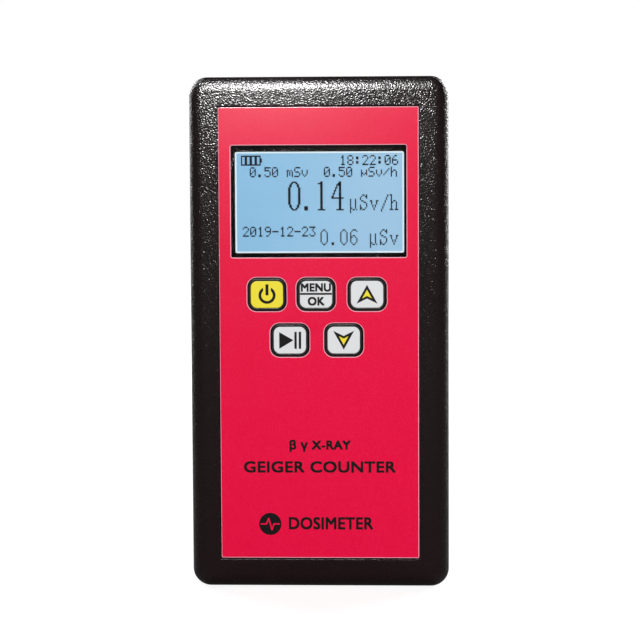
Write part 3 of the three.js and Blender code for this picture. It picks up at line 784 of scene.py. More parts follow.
RIBBON = Moulded("ribbon_amber", tint(0.45, 0.2, 0.03), tint(0.6, 0.35, 0.1), 0.3, 0.4, 0.004)
CHIP_BLACK = Moulded("chip_black", tint(0.02, 0.02, 0.021), tint(0.07, 0.07, 0.07), 0.55, 0.12, 0.003)
RED_WIRE = Moulded("wire_red", tint(0.42, 0.012, 0.01), tint(0.6, 0.1, 0.1), 0.4, 0.3, 0.003)
BLACK_WIRE = Moulded("wire_black", tint(0.012, 0.012, 0.012), tint(0.05, 0.05, 0.05), 0.42, 0.3, 0.003)
CRIMSON = PrintedSheet("overlay_crimson", tint(0.80, 0.0006, 0.048), tint(0.84, 0.002, 0.062))
# The overlay's cut edge: a pale pink painted highlight where the edge catches light.
EDGE_HIGHLIGHT = PrintedSheet("overlay_edge_highlight", tint(0.92, 0.42, 0.52), tint(0.96, 0.55, 0.64), 0.3, 0.4, 0.002)
WINDOW_CLEAR = Clear("window_clear", tint(0.97, 0.98, 0.98))
TUBE_GLASS = Metal("tube_glass", tint(0.42, 0.36, 0.29), tint(0.3, 0.27, 0.22), 0.12, 0.5, 0.001)
NICKEL = Metal("nickel", tint(0.66, 0.64, 0.6), tint(0.5, 0.48, 0.44), 0.24)
STEEL = Metal("steel", tint(0.56, 0.57, 0.58), tint(0.4, 0.4, 0.4), 0.28)
BLACK_SCREW = Metal("black_screw", tint(0.035, 0.035, 0.038), tint(0.08, 0.075, 0.07), 0.34)
TIN = Metal("tin", tint(0.6, 0.61, 0.62), tint(0.42, 0.42, 0.42), 0.34)
BRASS = Metal("brass", tint(0.72, 0.5, 0.18), tint(0.45, 0.3, 0.12), 0.3)
COPPER = Metal("copper", tint(0.72, 0.32, 0.14), tint(0.42, 0.18, 0.08), 0.32, 0.16)
ALUMINIUM = Metal("aluminium", tint(0.62, 0.63, 0.65), tint(0.5, 0.5, 0.52), 0.3)
BOARD_GREEN = CircuitBoard("board_green", tint(0.008, 0.075, 0.028), tint(0.03, 0.16, 0.06))
DOT_NAVY = Moulded("dot_navy", tint(0.0045, 0.007, 0.03), tint(0.01, 0.01, 0.04), 0.5, 0.3, 0.001,
                   wear=0.0, dust=0.0)
SLEEVE_BLUE = tint(0.012, 0.05, 0.2)
SLEEVE_SILVER = tint(0.72, 0.73, 0.75)
LIT_BLUE = tint(0.27, 0.535, 0.775)
LIT_EDGE = tint(0.80, 0.92, 0.98)


# ---------------------------------------------------------------- studio
@dataclass(frozen=True)
class Lamp:
    """One soft area light, placed and aimed in millimetres.

    A lamp may light only the gloss or only the colour of a surface, so that each can be balanced.
    """

    name: str
    spot: tuple[float, float, float]
    aim: tuple[float, float, float]
    width: float
    height: float
    power: float
    colours: bool = True
    gloss: bool = True

    def build(self) -> Piece:
        """Adds the light."""
        pick()
        look = Vector(self.aim) - Vector(self.spot)
        bpy.ops.object.light_add(type="AREA", location=Vector(self.spot) * MM,
                                 rotation=look.to_track_quat("-Z", "Y").to_euler())
        lamp = bpy.context.object
        lamp.name = self.name
        lamp.data.shape = "RECTANGLE"
        lamp.data.size = self.width * MM
        lamp.data.size_y = self.height * MM
        lamp.data.energy = self.power
        lamp.visible_camera = False
        lamp.visible_diffuse = self.colours
        lamp.visible_glossy = self.gloss
        lamp.visible_transmission = self.gloss
        return lamp


@dataclass
class Studio:
    """A plain pale floor and surround, soft lights and the camera."""

    distance: float = 600
    azimuth: float = 2.5
    elevation: float = 4.8
    roll: float = -0.3
    lens: float = 121.05
    sensor: float = 36
    clip: float = 10
    target: tuple[float, float, float] = (0, 0, 70)
    aim: tuple[float, float, float] = (-0.33, 0, 72.86)
    floor: float = 8000
    near: float = 60
    far: float = 900
    near_glow: float = 0.86
    floor_grey: Colour = tint(0.24, 0.24, 0.24)
    floor_pale: Colour = tint(0.26, 0.26, 0.26)
    floor_rough: float = 0.9
    floor_level: float = 0.1
    cloud: float = 400
    surround: float = 0.025
    lamps: tuple[Lamp, ...] = (
        Lamp("front_fill", (250, -1500, 500), (0, 0, 70), 1400, 1000, 26.5, gloss=False),
        Lamp("near_softbox", (-19, -66, 179), (-8, -12, 135), 46, 34, 0.45, colours=False),
        Lamp("top_softbox", (-60, -150, 520), (0, 0, 120), 420, 260, 0.3, colours=False),
        Lamp("rear_softbox", (650, 900, 420), (0, 0, 70), 700, 500, 16.0),
        Lamp("rear_fill", (-700, 800, 500), (0, 0, 70), 500, 700, 10.0),
    )

    def build(self) -> None:
        """Sets up the floor, the surround, the lights and the camera."""
        self.build_floor()
        self.build_surround()
        for lamp in self.lamps:
            lamp.build()
        self.build_camera()
        bpy.context.scene.view_settings.view_transform = "Standard"

    def build_floor(self) -> None:
        """A pale floor that reads as white and keeps a faint contact shadow."""
        pick()
        bpy.ops.mesh.primitive_plane_add(size=self.floor * MM)
        floor = settle("studio_floor")
        made = bpy.data.materials.new("studio_floor")
        made.use_nodes = True
        graph = Graph(made.node_tree)
        shader = made.node_tree.nodes["Principled BSDF"].inputs
        place = graph.place()
        cloud = graph.span(graph.noise(place, self.cloud), 0.3, 0.7)
        graph.feed(shader["Base Color"], graph.blend(cloud, self.floor_grey, self.floor_pale))
        shader["Roughness"].default_value = self.floor_rough
        shader["Specular IOR Level"].default_value = self.floor_level
        seen = graph.add("LightPath").outputs["Is Camera Ray"]
        away = graph.add("VectorMath", {0: place}, operation="LENGTH").outputs["Value"]
        shader["Emission Color"].default_value = WHITE
        level = graph.span(away, self.near * MM, self.far * MM, self.near_glow, 1.0)
        graph.feed(shader["Emission Strength"], graph.math("MULTIPLY", seen, level))
        floor.data.materials.append(made)

    def build_surround(self) -> None:
        """White to the camera and a dim grey to reflections, as a light tent is."""
        world = bpy.data.worlds.new("light_tent")
        bpy.context.scene.world = world
        world.use_nodes = True
        world.node_tree.nodes.clear()
        graph = Graph(world.node_tree)
        seen = graph.add("LightPath").outputs["Is Camera Ray"]
        level = graph.math("ADD", self.surround, seen)
        back = graph.add("Background", {"Color": WHITE, "Strength": level})
        output = graph.add("OutputWorld")
        world.node_tree.links.new(back.outputs[0], output.inputs["Surface"])

    def build_camera(self) -> None:
        """The camera at the viewing angle, slightly above and to the right of the object's middle."""
        turn, lift = math.radians(self.azimuth), math.radians(self.elevation)
        back = Vector((math.sin(turn) * math.cos(lift), -math.cos(turn) * math.cos(lift), math.sin(lift)))
        eye = Vector(self.target) + back * self.distance
        look = (Vector(self.aim) - eye).to_track_quat("-Z", "Y")
        tilted = look @ Quaternion((0, 0, 1), math.radians(self.roll))
        pick()
        bpy.ops.object.camera_add(location=eye * MM, rotation=tilted.to_euler())
        camera = bpy.context.object
        camera.name = "camera"
        camera.data.sensor_width = self.sensor
        camera.data.lens = self.lens
        camera.data.clip_start = self.clip * MM
        bpy.context.scene.camera = camera


# ---------------------------------------------------------------- case
@dataclass(frozen=True)
class CaseForm:
    """The form that both shells share: a rounded box split across its thickness."""

    corner: float = 5
    edge: float = 4
    wall: float = 2.2
    reveal: float = 0.25
    corner_steps: int = 12
    edge_steps: int = 10
    inner_steps: int = 5
    rim_soft: float = 0.16

    def half(self, name: str, span: Span, face: float, seam: float) -> Piece:
        """A solid half of the case.

        Args:
            name: The new piece's name.
            span: The box that it fills.
            face: The depth of its flat outer face.
            seam: The depth at which it meets the other half.

        Returns:
            The new piece.
        """
        piece = rounded(name, span, self.corner, self.corner_steps)
        bevel(piece, in_plane(Axis.Y, face), self.edge, self.edge_steps)
        return bevel(piece, in_plane(Axis.Y, seam), self.reveal, 2)

    def hollow(self, span: Span, face: float) -> Piece:
        """The space inside a half, rounded like its outside."""
        piece = rounded("hollow", span, self.corner - self.wall, self.inner_steps)
        return bevel(piece, in_plane(Axis.Y, face), self.edge - self.wall, self.inner_steps)

    def soften(self, piece: Piece, depth: float, width: float = 0) -> Piece:
        """Rounds the sharp rims of every opening in one face of the case."""
        return bevel(piece, sharp(in_plane(Axis.Y, depth)), width or self.rim_soft, 3)


@dataclass(frozen=True)
class Run:
    """A line through the case from front to back, on which bars are placed by their depths."""

    spot: Vector

    def bar(self, name: str, start: float, stop: float, radius: float, sides: int,
            end: float | None = None) -> Piece:
        """A round bar from one depth to another."""
        foot, tip = (Vector((self.spot.x, depth, self.spot.z)) for depth in (start, stop))
        return bar(name, foot, tip, radius, sides, end)


CASE = CaseForm()
SCREWS = [f"case_screw_{number}" for number in range(1, 5)]
BOARD_SCREWS = [f"board_screw_{number}" for number in range(1, 5)]


@dataclass
class FrontShell:
    """The front half: the overlay's recess, the display's window and the key holes."""

    recess: float = 0.8
    border: float = 0.34
    recess_corner: float = 0.5
    lens_corner: float = 0.8
    view_corner: float = 0.5
    front_wall: float = 2.6
    key_gap: float = 0.2
    lens_gap: float = 0.05
    lip: float = 1.65
    lip_inset: float = 1.0
    root: float = 0.5
    boss: float = 3.3
    boss_gap: float = 0.1
    boss_floor: float = 1.7
    pilot: float = 1.15
    post: float = 2.2
    post_gap: float = 0.05
    post_floor: float = 1.1
    post_pilot: float = 0.95

    def build(self) -> list[Piece]:
        """Models the shell from a rounded half case."""
        span = Span.of("front_shell")
        face, seam = span.low.y, span.high.y
        inner = face + self.front_wall
        shell = CASE.half("case_front", span, face, seam)
        inside = span.grown(-CASE.wall, 0, -CASE.wall).between(inner, seam + CUT_PAST)
        rabbet = span.grown(-self.lip_inset, 0, -self.lip_inset).between(seam - self.lip, seam + CUT_PAST)
        carve(shell, CASE.hollow(inside, inner), rounded("rabbet", rabbet, CASE.corner - self.lip_inset))
        self.add_bosses(shell, inner, seam)
        self.cut_openings(shell, face, inner)
        CASE.soften(shell, face)
        polish(shell)
        return [deliver(shell, "case", [CASE_BLACK], ["front_shell"])]

    def add_bosses(self, shell: Piece, inner: float, seam: float) -> None:
        """Adds the screw bosses and board posts, and drills their pilot holes."""
        board = Span.of("main_board").low.y
        root = inner - self.root
        for screw in SCREWS:
            run = Run(Span.of(screw).middle)
            tip, floor = seam - self.boss_gap, root + self.boss_floor
            weld(shell, run.bar("boss", root, tip, self.boss, 28))
            carve(shell, run.bar("pilot", floor, tip + CUT_PAST, self.pilot, 20))
        for screw in BOARD_SCREWS:
            run = Run(Span.of(screw).middle)
            tip, floor = board - self.post_gap, root + self.post_floor
            weld(shell, run.bar("post", root, tip, self.post, 20))
            carve(shell, run.bar("pilot", floor, tip + CUT_PAST, self.post_pilot, 16))

    def cut_openings(self, shell: Piece, face: float, inner: float) -> None:
        """Cuts the recess, the lens pocket, the view of the display and the key holes."""
        overlay, lens = Span.of("keypad_overlay"), Span.of("display_window")
        floor = face + self.recess
        recess = overlay.grown(self.border, 0, self.border).between(face - CUT_PAST, floor)
        deep = lens.high.y + self.lens_gap
        pocket = lens.grown(self.border, 0, self.border).between(face - CUT_PAST, deep)
        view = Display.view().between(face - CUT_PAST, inner + CUT_PAST)
        carve(shell, rounded("recess", recess, self.recess_corner, 3))
        carve(shell, rounded("pocket", pocket, self.lens_corner, 4))
        carve(shell, rounded("view", view, self.view_corner, 4))
        for key in KeyName:
            carve(shell, Key.opening(key, self.key_gap, face - CUT_PAST, inner + CUT_PAST))


@dataclass
class RearShell:
    """The rear half: the screw wells, the sensor slots, the sound holes and the battery bay."""

    lip_inset: float = 1.15
    lip_wall: float = 0.95
    lip_root: float = 2
    lip_floor: float = 0.4
    boss: float = 3.5
    boss_start: float = 0.1
    root: float = 0.5
    clearance: float = 1.5
    counterbore: float = 2.9
    seat: float = 9
    door_gap: float = 0.2
    bay_wall: float = 1.3
    bay_front: float = 0.5
    bay_back: float = 11.5
    bay_side: float = 0.7
    bay_end: float = 0.3
    slot_count: int = 9
    slot_pitch: float = 4
    slot_width: float = 10
    slot_height: float = 1.8
    slot_mid: float = 85
    hole_ring: float = 3.6
    hole_radius: float = 0.9
    hole_count: int = 8
    rib: float = 0.6
    rib_height: float = 1.7
    rib_mid: float = 5.5
    rib_front: float = 0.3
    rib_end: float = 7
    rib_corner: float = 0.4
    hook_half: float = 3.4
    hook_front: float = 9.1
    hook_back: float = 12.5
    tail_half: float = 1.7
    tail_front: float = -2.5
    tail_back: float = 1.5
    tail_past: float = 0.2
    slot_deep: float = 0.5

    def build(self) -> list[Piece]:
        """Models the shell from a rounded half case."""
        whole = Span.of("rear_shell")
        back, seam = whole.high.y, Span.of("front_shell").high.y
        inner = back - CASE.wall
        shell = CASE.half("case_rear", whole.between(seam, back), back, seam)
        lip = whole.grown(-self.lip_inset, 0, -self.lip_inset).between(whole.low.y, seam + self.lip_root)
        weld(shell, rounded("lip", lip, CASE.corner - self.lip_inset, 8))
        inset = self.lip_inset + self.lip_wall
        front = whole.low.y - CUT_PAST
        lip_hollow = whole.grown(-inset, 0, -inset).between(front, seam + self.lip_floor)
        inside = whole.grown(-CASE.wall, 0, -CASE.wall).between(front, inner)
        carve(shell, rounded("lip_hollow", lip_hollow, CASE.corner - inset), CASE.hollow(inside, inner))
        for screw in SCREWS:
            run = Run(Span.of(screw).middle)
            weld(shell, run.bar("boss", self.boss_start, inner + self.root, self.boss, 28))
            carve(shell, run.bar("through", seam - self.lip_root, back + CUT_PAST, self.clearance, 24))
            carve(shell, run.bar("well", self.seat, back + CUT_PAST, self.counterbore, 36))
        self.add_bay(shell, inner, back)
        self.cut_grilles(shell, inner, back)
        CASE.soften(shell, back)
        polish(shell)
        return [deliver(shell, "case", [CASE_BLACK], ["rear_shell"])]

    def add_bay(self, shell: Piece, inner: float, back: float) -> None:
        """Cuts the door's opening and sets the battery bay in it, with ribs between the cells."""
        leaf = BatteryDoor.leaf()
        opening = leaf.grown(self.door_gap, 0, self.door_gap).between(inner - self.root, back + CUT_PAST)
        carve(shell, rounded("opening", opening, BatteryDoor.corner + self.door_gap, 5))
        bottom, top = Span.of("battery_contact_link_bottom").low.z, Span.of("battery_contact_link_top").high.z
        left, right = Span.of("battery_cell_1"), Span.of("battery_cell_3")
        inside = Span(Vector((left.low.x - self.bay_side, self.bay_front, bottom - self.bay_end)),
                      Vector((right.high.x + self.bay_side, self.bay_back, top + self.bay_end)))
        walls = inside.grown(self.bay_wall, 0, self.bay_wall)
        weld(shell, block("bay", walls.between(self.bay_front - self.bay_wall, self.bay_back)))
        carve(shell, block("bay_space", inside.between(self.bay_front, self.bay_back + CUT_PAST)))
        for side in (-1, 1):
            rib = Span(Vector((side * self.rib_mid - self.rib, self.rib_front, inside.low.z + self.rib_end)),
                       Vector((side * self.rib_mid + self.rib, self.bay_front + self.rib_height,
                               inside.high.z - self.rib_end)))
            weld(shell, rounded("rib", rib, self.rib_corner, 2))
        for side in (-1, 1):
            middle = side * BatteryDoor.hook_mid
            slot = Span(Vector((middle - self.hook_half, self.hook_front, walls.low.z - BITE)),
                        Vector((middle + self.hook_half, self.hook_back, inside.low.z + self.slot_deep)))
            carve(shell, block("hook_slot", slot))
        for x, z in ((left.middle.x, top - self.tail_past), (right.middle.x, bottom + self.tail_past)):
            tail = Span(Vector((x - self.tail_half, self.tail_front, z - self.slot_deep)),
                        Vector((x + self.tail_half, self.tail_back, z + self.slot_deep)))
            carve(shell, block("tail_slot", tail))

    def cut_grilles(self, shell: Piece, inner: float, back: float) -> None:
        """Cuts the slots over the tube and the round holes over the buzzer."""
        tube, buzzer = Span.of("gm_tube").middle, Span.of("buzzer").middle
        through = (inner - CUT_PAST, back + CUT_PAST)
        for index in range(self.slot_count):
            z = self.slot_mid + (index - (self.slot_count - 1) / 2) * self.slot_pitch
            half = Vector((self.slot_width / 2, 0, self.slot_height / 2))
            middle = Vector((tube.x, 0, z))
            slot = Span(middle - half, middle + half).between(*through)
            carve(shell, rounded("slot", slot, self.slot_height / 2 - FLAT, 6))
        spots = [(0.0, 0.0)]
        for index in range(self.hole_count):
            turn = 2 * math.pi * index / self.hole_count
            spots.append((self.hole_ring * math.cos(turn), self.hole_ring * math.sin(turn)))
        for x, z in spots:
            ends = [Vector((buzzer.x + x, depth, buzzer.z + z)) for depth in through]
            carve(shell, bar("sound_hole", *ends, self.hole_radius, 20))


@dataclass
class BatteryDoor:
    """The hinged door over the cells, with a thumb scoop, grip lines, latch slits and two hooks."""

    hook_reach: float = 1.9
    thickness: float = 1.8
    corner: float = 1.5
    hook_mid: float = 11
    hook_half: float = 3
    hook_thick: float = 0.9
    hook_leg: float = 1.1
    scoop_radius: float = 9
    scoop_flatten: float = 0.55
    scoop_narrow: float = 0.75
    scoop_proud: float = 4.1
    scoop_below: float = 9
    hook_play: float = 0.25
    hook_soft: float = 0.25
    rim_soft: float = 0.22
    slit_mid: float = 6.5
    slit_half: float = 0.35
    slit_length: float = 4
    line_count: int = 4
    line_pitch: float = 1.5
    line_below: float = 9
    line_half: float = 5.5
    line_shorter: float = 0.9
    line_cut: float = 0.35

    @classmethod
    def leaf(cls) -> Span:
        """The door's flat leaf, without its hooks."""
        whole = Span.of("battery_door")
        low = whole.low.copy()
        low.z += cls.hook_reach
        low.y = whole.high.y - cls.thickness
        return Span(low, whole.high)

    def build(self) -> list[Piece]:
        """Models the door from a rounded slab."""
        leaf = self.leaf()
        door = rounded("battery_cover", leaf, self.corner, 6)
        hook_y = Span.of("rear_shell").high.y - CASE.wall - self.hook_play
        bottom = leaf.low.z
        for side in (-1, 1):
            x0, x1 = side * self.hook_mid - self.hook_half, side * self.hook_mid + self.hook_half
            leg = Span(Vector((x0, hook_y - self.hook_thick, bottom + BITE)),
                       Vector((x1, leaf.low.y + BITE, bottom + self.hook_leg)))
            toe = Span(Vector((x0, hook_y - self.hook_thick, bottom - self.hook_reach)),
                       Vector((x1, hook_y, bottom + self.hook_leg)))
            weld(door, block("hook_leg", leg))
            weld(door, bevel(block("hook_toe", toe), parallel(Axis.X), self.hook_soft, 2))
        self.cut_scoop(door, leaf)
        self.cut_lines(door, leaf)
        for side in (-1, 1):
            x0, x1 = side * self.slit_mid - self.slit_half, side * self.slit_mid + self.slit_half
            slit = Span(Vector((x0, leaf.low.y - CUT_PAST, leaf.high.z - self.slit_length)),
                        Vector((x1, leaf.high.y + CUT_PAST, leaf.high.z + CUT_PAST)))
            carve(door, block("slit", slit))
        CASE.soften(door, leaf.high.y, self.rim_soft)
        polish(door)
        return [deliver(door, "battery_door", [CASE_BLACK], ["battery_door"])]

    def cut_scoop(self, door: Piece, leaf: Span) -> None:
        """Presses the thumb scoop into the door near its latch."""
        pick()
        spot = Vector((0, leaf.high.y + self.scoop_proud, leaf.high.z - self.scoop_below))
        bpy.ops.mesh.primitive_uv_sphere_add(segments=56, ring_count=28, radius=self.scoop_radius * MM,
                                             location=spot * MM)
        bpy.context.object.scale = (1, self.scoop_flatten, self.scoop_narrow)
        carve(door, settle("scoop"))

    def cut_lines(self, door: Piece, leaf: Span) -> None:
        """Cuts the short grip lines below the scoop."""
        for index in range(self.line_count):
            z = leaf.high.z - self.scoop_below - self.line_below - index * self.line_pitch
            half = self.line_half - self.line_shorter * index
            line = Span(Vector((-half, leaf.high.y - self.line_cut, z - self.line_cut)),
                        Vector((half, leaf.high.y + CUT_PAST, z + self.line_cut)))
            carve(door, rounded("line", line, self.line_cut - FLAT, 4))


# ---------------------------------------------------------------- screws
@dataclass
class CaseScrews:
    """Four pan-head screws in the wells of the rear shell."""

    head: float = 2.6
    head_height: float = 1.9
    shank: float = 1.05
    arm: float = 0.35
    reach: float = 1.6
    recess: float = 1.0
    dome: float = 0.7
    core: float = 0.8
    tip: float = 0.1
    point: float = 1.5
    overlap: float = 0.2
    threads: int = 12
    thread_start: float = 1
    thread_share: float = 0.6
    thread_slope: float = 0.7

    def build(self) -> list[Piece]:
        """Models one screw and copies it to the other places."""
        first = Span.of(SCREWS[0])
        top = first.high.y
        at = Vector((first.middle.x, 0, first.middle.z))
        master = self.model(at, first.low.y, top)
        copies = [master]
        for name in SCREWS[1:]:
            spot = Span.of(name).middle
            copies.append(twin(master, f"{name}_pan_head", Vector((spot.x, 0, spot.z)) - at))
        return [deliver(piece, "case", [BLACK_SCREW], [name])
                for piece, name in zip(copies, SCREWS)]

    def model(self, at: Vector, tip: float, top: float) -> Piece:
        """One screw: a domed head with a cross, and a shank with ridges for its thread."""
        run = Run(at)
        seat = top - self.head_height
        screw = run.bar(f"{SCREWS[0]}_pan_head", seat, top, self.head, 36)
        bevel(screw, in_plane(Axis.Y, top), self.dome, 4)
        for x, z in ((self.reach, self.arm), (self.arm, self.reach)):
            arm = Span(Vector((at.x - x, top - self.recess, at.z - z)),
                       Vector((at.x + x, top + CUT_PAST, at.z + z)))
            carve(screw, block("cross", arm))
        core, shoulder = self.shank * self.core, tip + self.point
        weld(screw, run.bar("shank", seat + self.overlap, shoulder, core, 20))
        weld(screw, run.bar("point", shoulder + BITE, tip, core, 20, self.tip))
        pitch = (seat - tip - 2 * self.point) / self.threads
        crests = [seat - self.thread_start - index * pitch for index in range(self.threads)]
        ridges = [run.bar("ridge", crest, crest - self.thread_share * pitch, self.shank, 20,
                          self.shank * self.thread_slope) for crest in crests]
        weld(screw, gather("ridges", *ridges))
        return polish(screw, 30)


# ---------------------------------------------------------------- overlay and its print
@dataclass
class Overlay:
    """The crimson front sheet, its apertures and what is printed on it."""

    corner: float = 0.3
    window_width: float = 47.7
    window_height: float = 30.4
    window_corner: float = 0.4
    key_gap: float = 0.34
    edge: float = 0.22
    ink: float = 0.02
    bold: float = 0.13
    emblem_x: float = -13.7
    emblem_z: float = 17.7
    emblem_radius: float = 3.07
    stroke: float = 0.42
    stroke_past: float = 0.3
    trace: tuple[tuple[float, float], ...] = (
        (-2.5, 0), (-1.1, 0), (-0.45, 1.5), (0.45, -1.6), (1.0, 0), (2.5, 0),
    )

    def build(self) -> list[Piece]:
        """Models the sheet, then its printed words and emblem."""
        return [self.build_sheet(), *self.build_words(), *self.build_emblem()]

    def build_sheet(self) -> Piece:
        """The sheet with its window and key apertures, and a pale pink painted highlight on its cut edges."""
        span = Span.of("keypad_overlay")
        sheet = rounded("front_overlay", span, self.corner, 3)
        middle = Span.of("display_window").middle
        half = Vector((self.window_width / 2, 0, self.window_height / 2))
        through = (span.low.y - CUT_PAST, span.high.y + CUT_PAST)
        window = Span(middle - half, middle + half).between(*through)
        carve(sheet, rounded("window", window, self.window_corner, 3))
        for key in KeyName:
            carve(sheet, Key.opening(key, self.key_gap, *through))
        second_slot(sheet)
        # The bevelled cut edge takes the second slot, the pale pink painted highlight.
        bevel(sheet, sharp(in_plane(Axis.Y, span.low.y)), self.edge, 2, 1)
        polish(sheet, 25)
        return deliver(sheet, "case", [CRIMSON, EDGE_HIGHLIGHT], ["keypad_overlay"])

    def word(self, name: str, text: str, middle: tuple[float, float], width: float, height: float) -> Piece:
        """A printed word, a thin body of ink on the sheet.

        Args:
            name: The new piece's name.
            text: What it says.
            middle: Where its middle stands, X and Z.
            width: How wide it is.
            height: How tall its capitals are.

        Returns:
            The new piece.
        """
        front = Span.of("keypad_overlay").low.y
        spot = Vector((middle[0], front - self.ink, middle[1]))
        piece = lettering(name, text, spot, width, height, self.ink, self.bold)
        return deliver(piece, "case", [BLACK_INK])

    def build_words(self) -> list[Piece]:
        """The generic words in the lower half of the sheet."""
        return [
            self.word("print_rays", "β γ X-RAY", (0.1, 39.3), 16.8, 3.4),
            self.word("print_title", "GEIGER COUNTER", (0.0, 33.5), 41.7, 3.2),
            self.word("print_kind", "DOSIMETER", (3.0, 17.9), 23.2, 3.5),
        ]

    def build_emblem(self) -> list[Piece]:
        """A black disc with a pulse line cut through it."""
        front = Span.of("keypad_overlay").low.y
        middle = Vector((self.emblem_x, 0, self.emblem_z))
        disc = Run(middle).bar("print_emblem", front, front - self.ink, self.emblem_radius, 56)
        for (x0, z0), (x1, z1) in zip(self.trace, self.trace[1:]):
            run = Vector((x1 - x0, 0, z1 - z0))
            spot = middle + Vector(((x0 + x1) / 2, front, (z0 + z1) / 2))
            pick()
            bpy.ops.mesh.primitive_cube_add(
                size=1, location=spot * MM, rotation=(0, -math.atan2(run.z, run.x), 0),
                scale=Vector((run.length + self.stroke_past, CUT_PAST, self.stroke)) * MM,
            )
            carve(disc, settle("stroke"))
        polish(disc)
        return [deliver(disc, "case", [BLACK_INK])]


LETTER_SPACING = 1.06
LAYER_STEP = 0.1


def lettering(name: str, text: str, middle: Vector, width: float, height: float, thick: float,
              bold: float) -> Piece:
    """Letters in the front view, made bold by four shifted layers of the same thin body.

    Each layer stands a little nearer the front than the last, so that no two faces coincide.

    Args:
        name: The new piece's name.
        text: The letters.
        middle: The middle of the letters, on the front of the first layer.
        width: The width of the whole, in millimetres.
        height: The height of the whole.
        thick: How thick each layer is.
        bold: How far each stroke is thickened on every side, in millimetres.

    Returns:
        The new piece.
    """
    pick()
    bpy.ops.object.text_add(rotation=(math.pi / 2, 0, 0))
    letters = bpy.context.object
    letters.data.body = text
    letters.data.resolution_u = 4
    letters.data.align_x = "CENTER"
    letters.data.space_character = LETTER_SPACING
    letters.data.extrude = thick / 2
    bpy.ops.object.convert(target="MESH")
    piece = settle(name)
    corners = [Vector(corner) for corner in piece.bound_box]
    low, high = Vector(map(min, *corners)), Vector(map(max, *corners))
    size = high - low
    piece.location = -(low + high) / 2
    settle(name)
    piece.scale = ((width - 2 * bold) * MM / size.x, thick * MM / size.y, (height - 2 * bold) * MM / size.z)
    piece.location = (middle + Vector((-bold, thick / 2, -bold))) * MM
    settle(name)
    clean(piece)
    step = Vector((0, -LAYER_STEP * thick, 0))
    shifts = [Vector((2 * bold, 0, 0)), Vector((0, 0, 2 * bold)), Vector((2 * bold, 0, 2 * bold))]
    copies = [twin(piece, "stroke", shift + step * (index + 1)) for index, shift in enumerate(shifts)]
    return gather(name, piece, *copies)


# ---------------------------------------------------------------- display
SMALL_GLYPHS = {
    "0": ".###. #...# #..## #.#.# ##..# #...# .###.",
    "1": "..#.. .##.. ..#..*4 .###.",
    "2": ".###. #...# ....# ...#. ..#.. .#... #####",
    "3": "##### ...#. ..#.. ...#. ....# #...# .###.",
    "5": "##### #.... ####. ....#*2 #...# .###.",
    "6": "..##. .#... #.... ####. #...#*2 .###.",
    "8": ".###. #...#*2 .###. #...#*2 .###.",
    "9": ".###. #...#*2 .#### ....# ...#. .##..",
    ":": "..... .##..*2 ..... .##..*2 .....",
    ".": ".....*5 .##..*2",
    "-": ".....*3 ##### .....*3",
    "/": "..... ....# ...#. ..#.. .#... #.... .....",
    "m": ".....*2 ##.#. #.#.#*3 #...#",
    "S": ".#### #....*2 .###. ....#*2 ####.",
    "v": ".....*2 #...#*3 .#.#. ..#..",
    "h": "#....*2 #.##. ##..# #...#*3",
    "µ": ".....*2 #...#*2 ##.## #.#.# #....",
}
TALL_GLYPHS = {
    "0": "..##... .#..#.. #....#.*7 .#..#.. ..##...",
    "6": "..###.. .#...#. #......*2 #.##... ##..#.. #....#.*3 .#..#.. ..##...",
    ".": ".......*9 .##....*2",
    "µ": ".......*3 #...#..*6 ##..#.. #.##.#. #...... #......",
    "S": "..##.#. .#..##. #....#. #...... .##.... ...##.. .....#. #....#.*2 ##..#.. #.##...",
    "v": ".......*4 ##...## .#...#.*2 ..#.#..*2 ...#...*2",
    "/": "......#*2 .....#.*2 ....#..*2 ...#...*2 ..#....*2 .#.....*2",
    "h": "##..... .#.....*3 .#.##.. .##..#. .#...#.*4 ###.###",
}
BIG_GLYPHS = {
    "0": "...####... ..##..##.. .##....##.*2 ##......##*12 .##....##.*2 ..##..##.. ...####...",
    ".": "..........*17 ###.......*3",
    "1": "...##..... .####..... ...##.....*17 .######...",
    "4": ("......##.. .....###.. ....####.. ....#.##.. ...##.##.. ...#..##.. ..##..##.. ..#...##.. "
          ".##...##.. .#....##.. ##....##.. ########## ......##..*7 ....######"),
}
BATTERY_MARK = {
    "b": "################. #..##..##..##..#. #..##..##..##..##*3 #..##..##..##..#. ################.",
}


def rows_of(pattern: str) -> list[str]:
    """A glyph's rows of dots; a row that ends in *N stands N times."""
    rows = []
    for row in pattern.split():
        dots, _, times = row.partition("*")
        rows.extend([dots] * int(times or 1))
    return rows


@dataclass(frozen=True)
class Line:
    """Characters of one size on the display, from a column and row of its dots."""

    text: str
    glyphs: dict
    advance: int
    column: int
    row: int

    def dots(self) -> set[tuple[int, int]]:
        """The columns and rows that the line lights."""
        lit = set()
        for index, letter in enumerate(self.text):
            for down, row in enumerate(rows_of(self.glyphs.get(letter, "."))):
                for along, mark in enumerate(row):
                    if mark == "#":
                        lit.add((self.column + index * self.advance + along, self.row + down))
        return lit


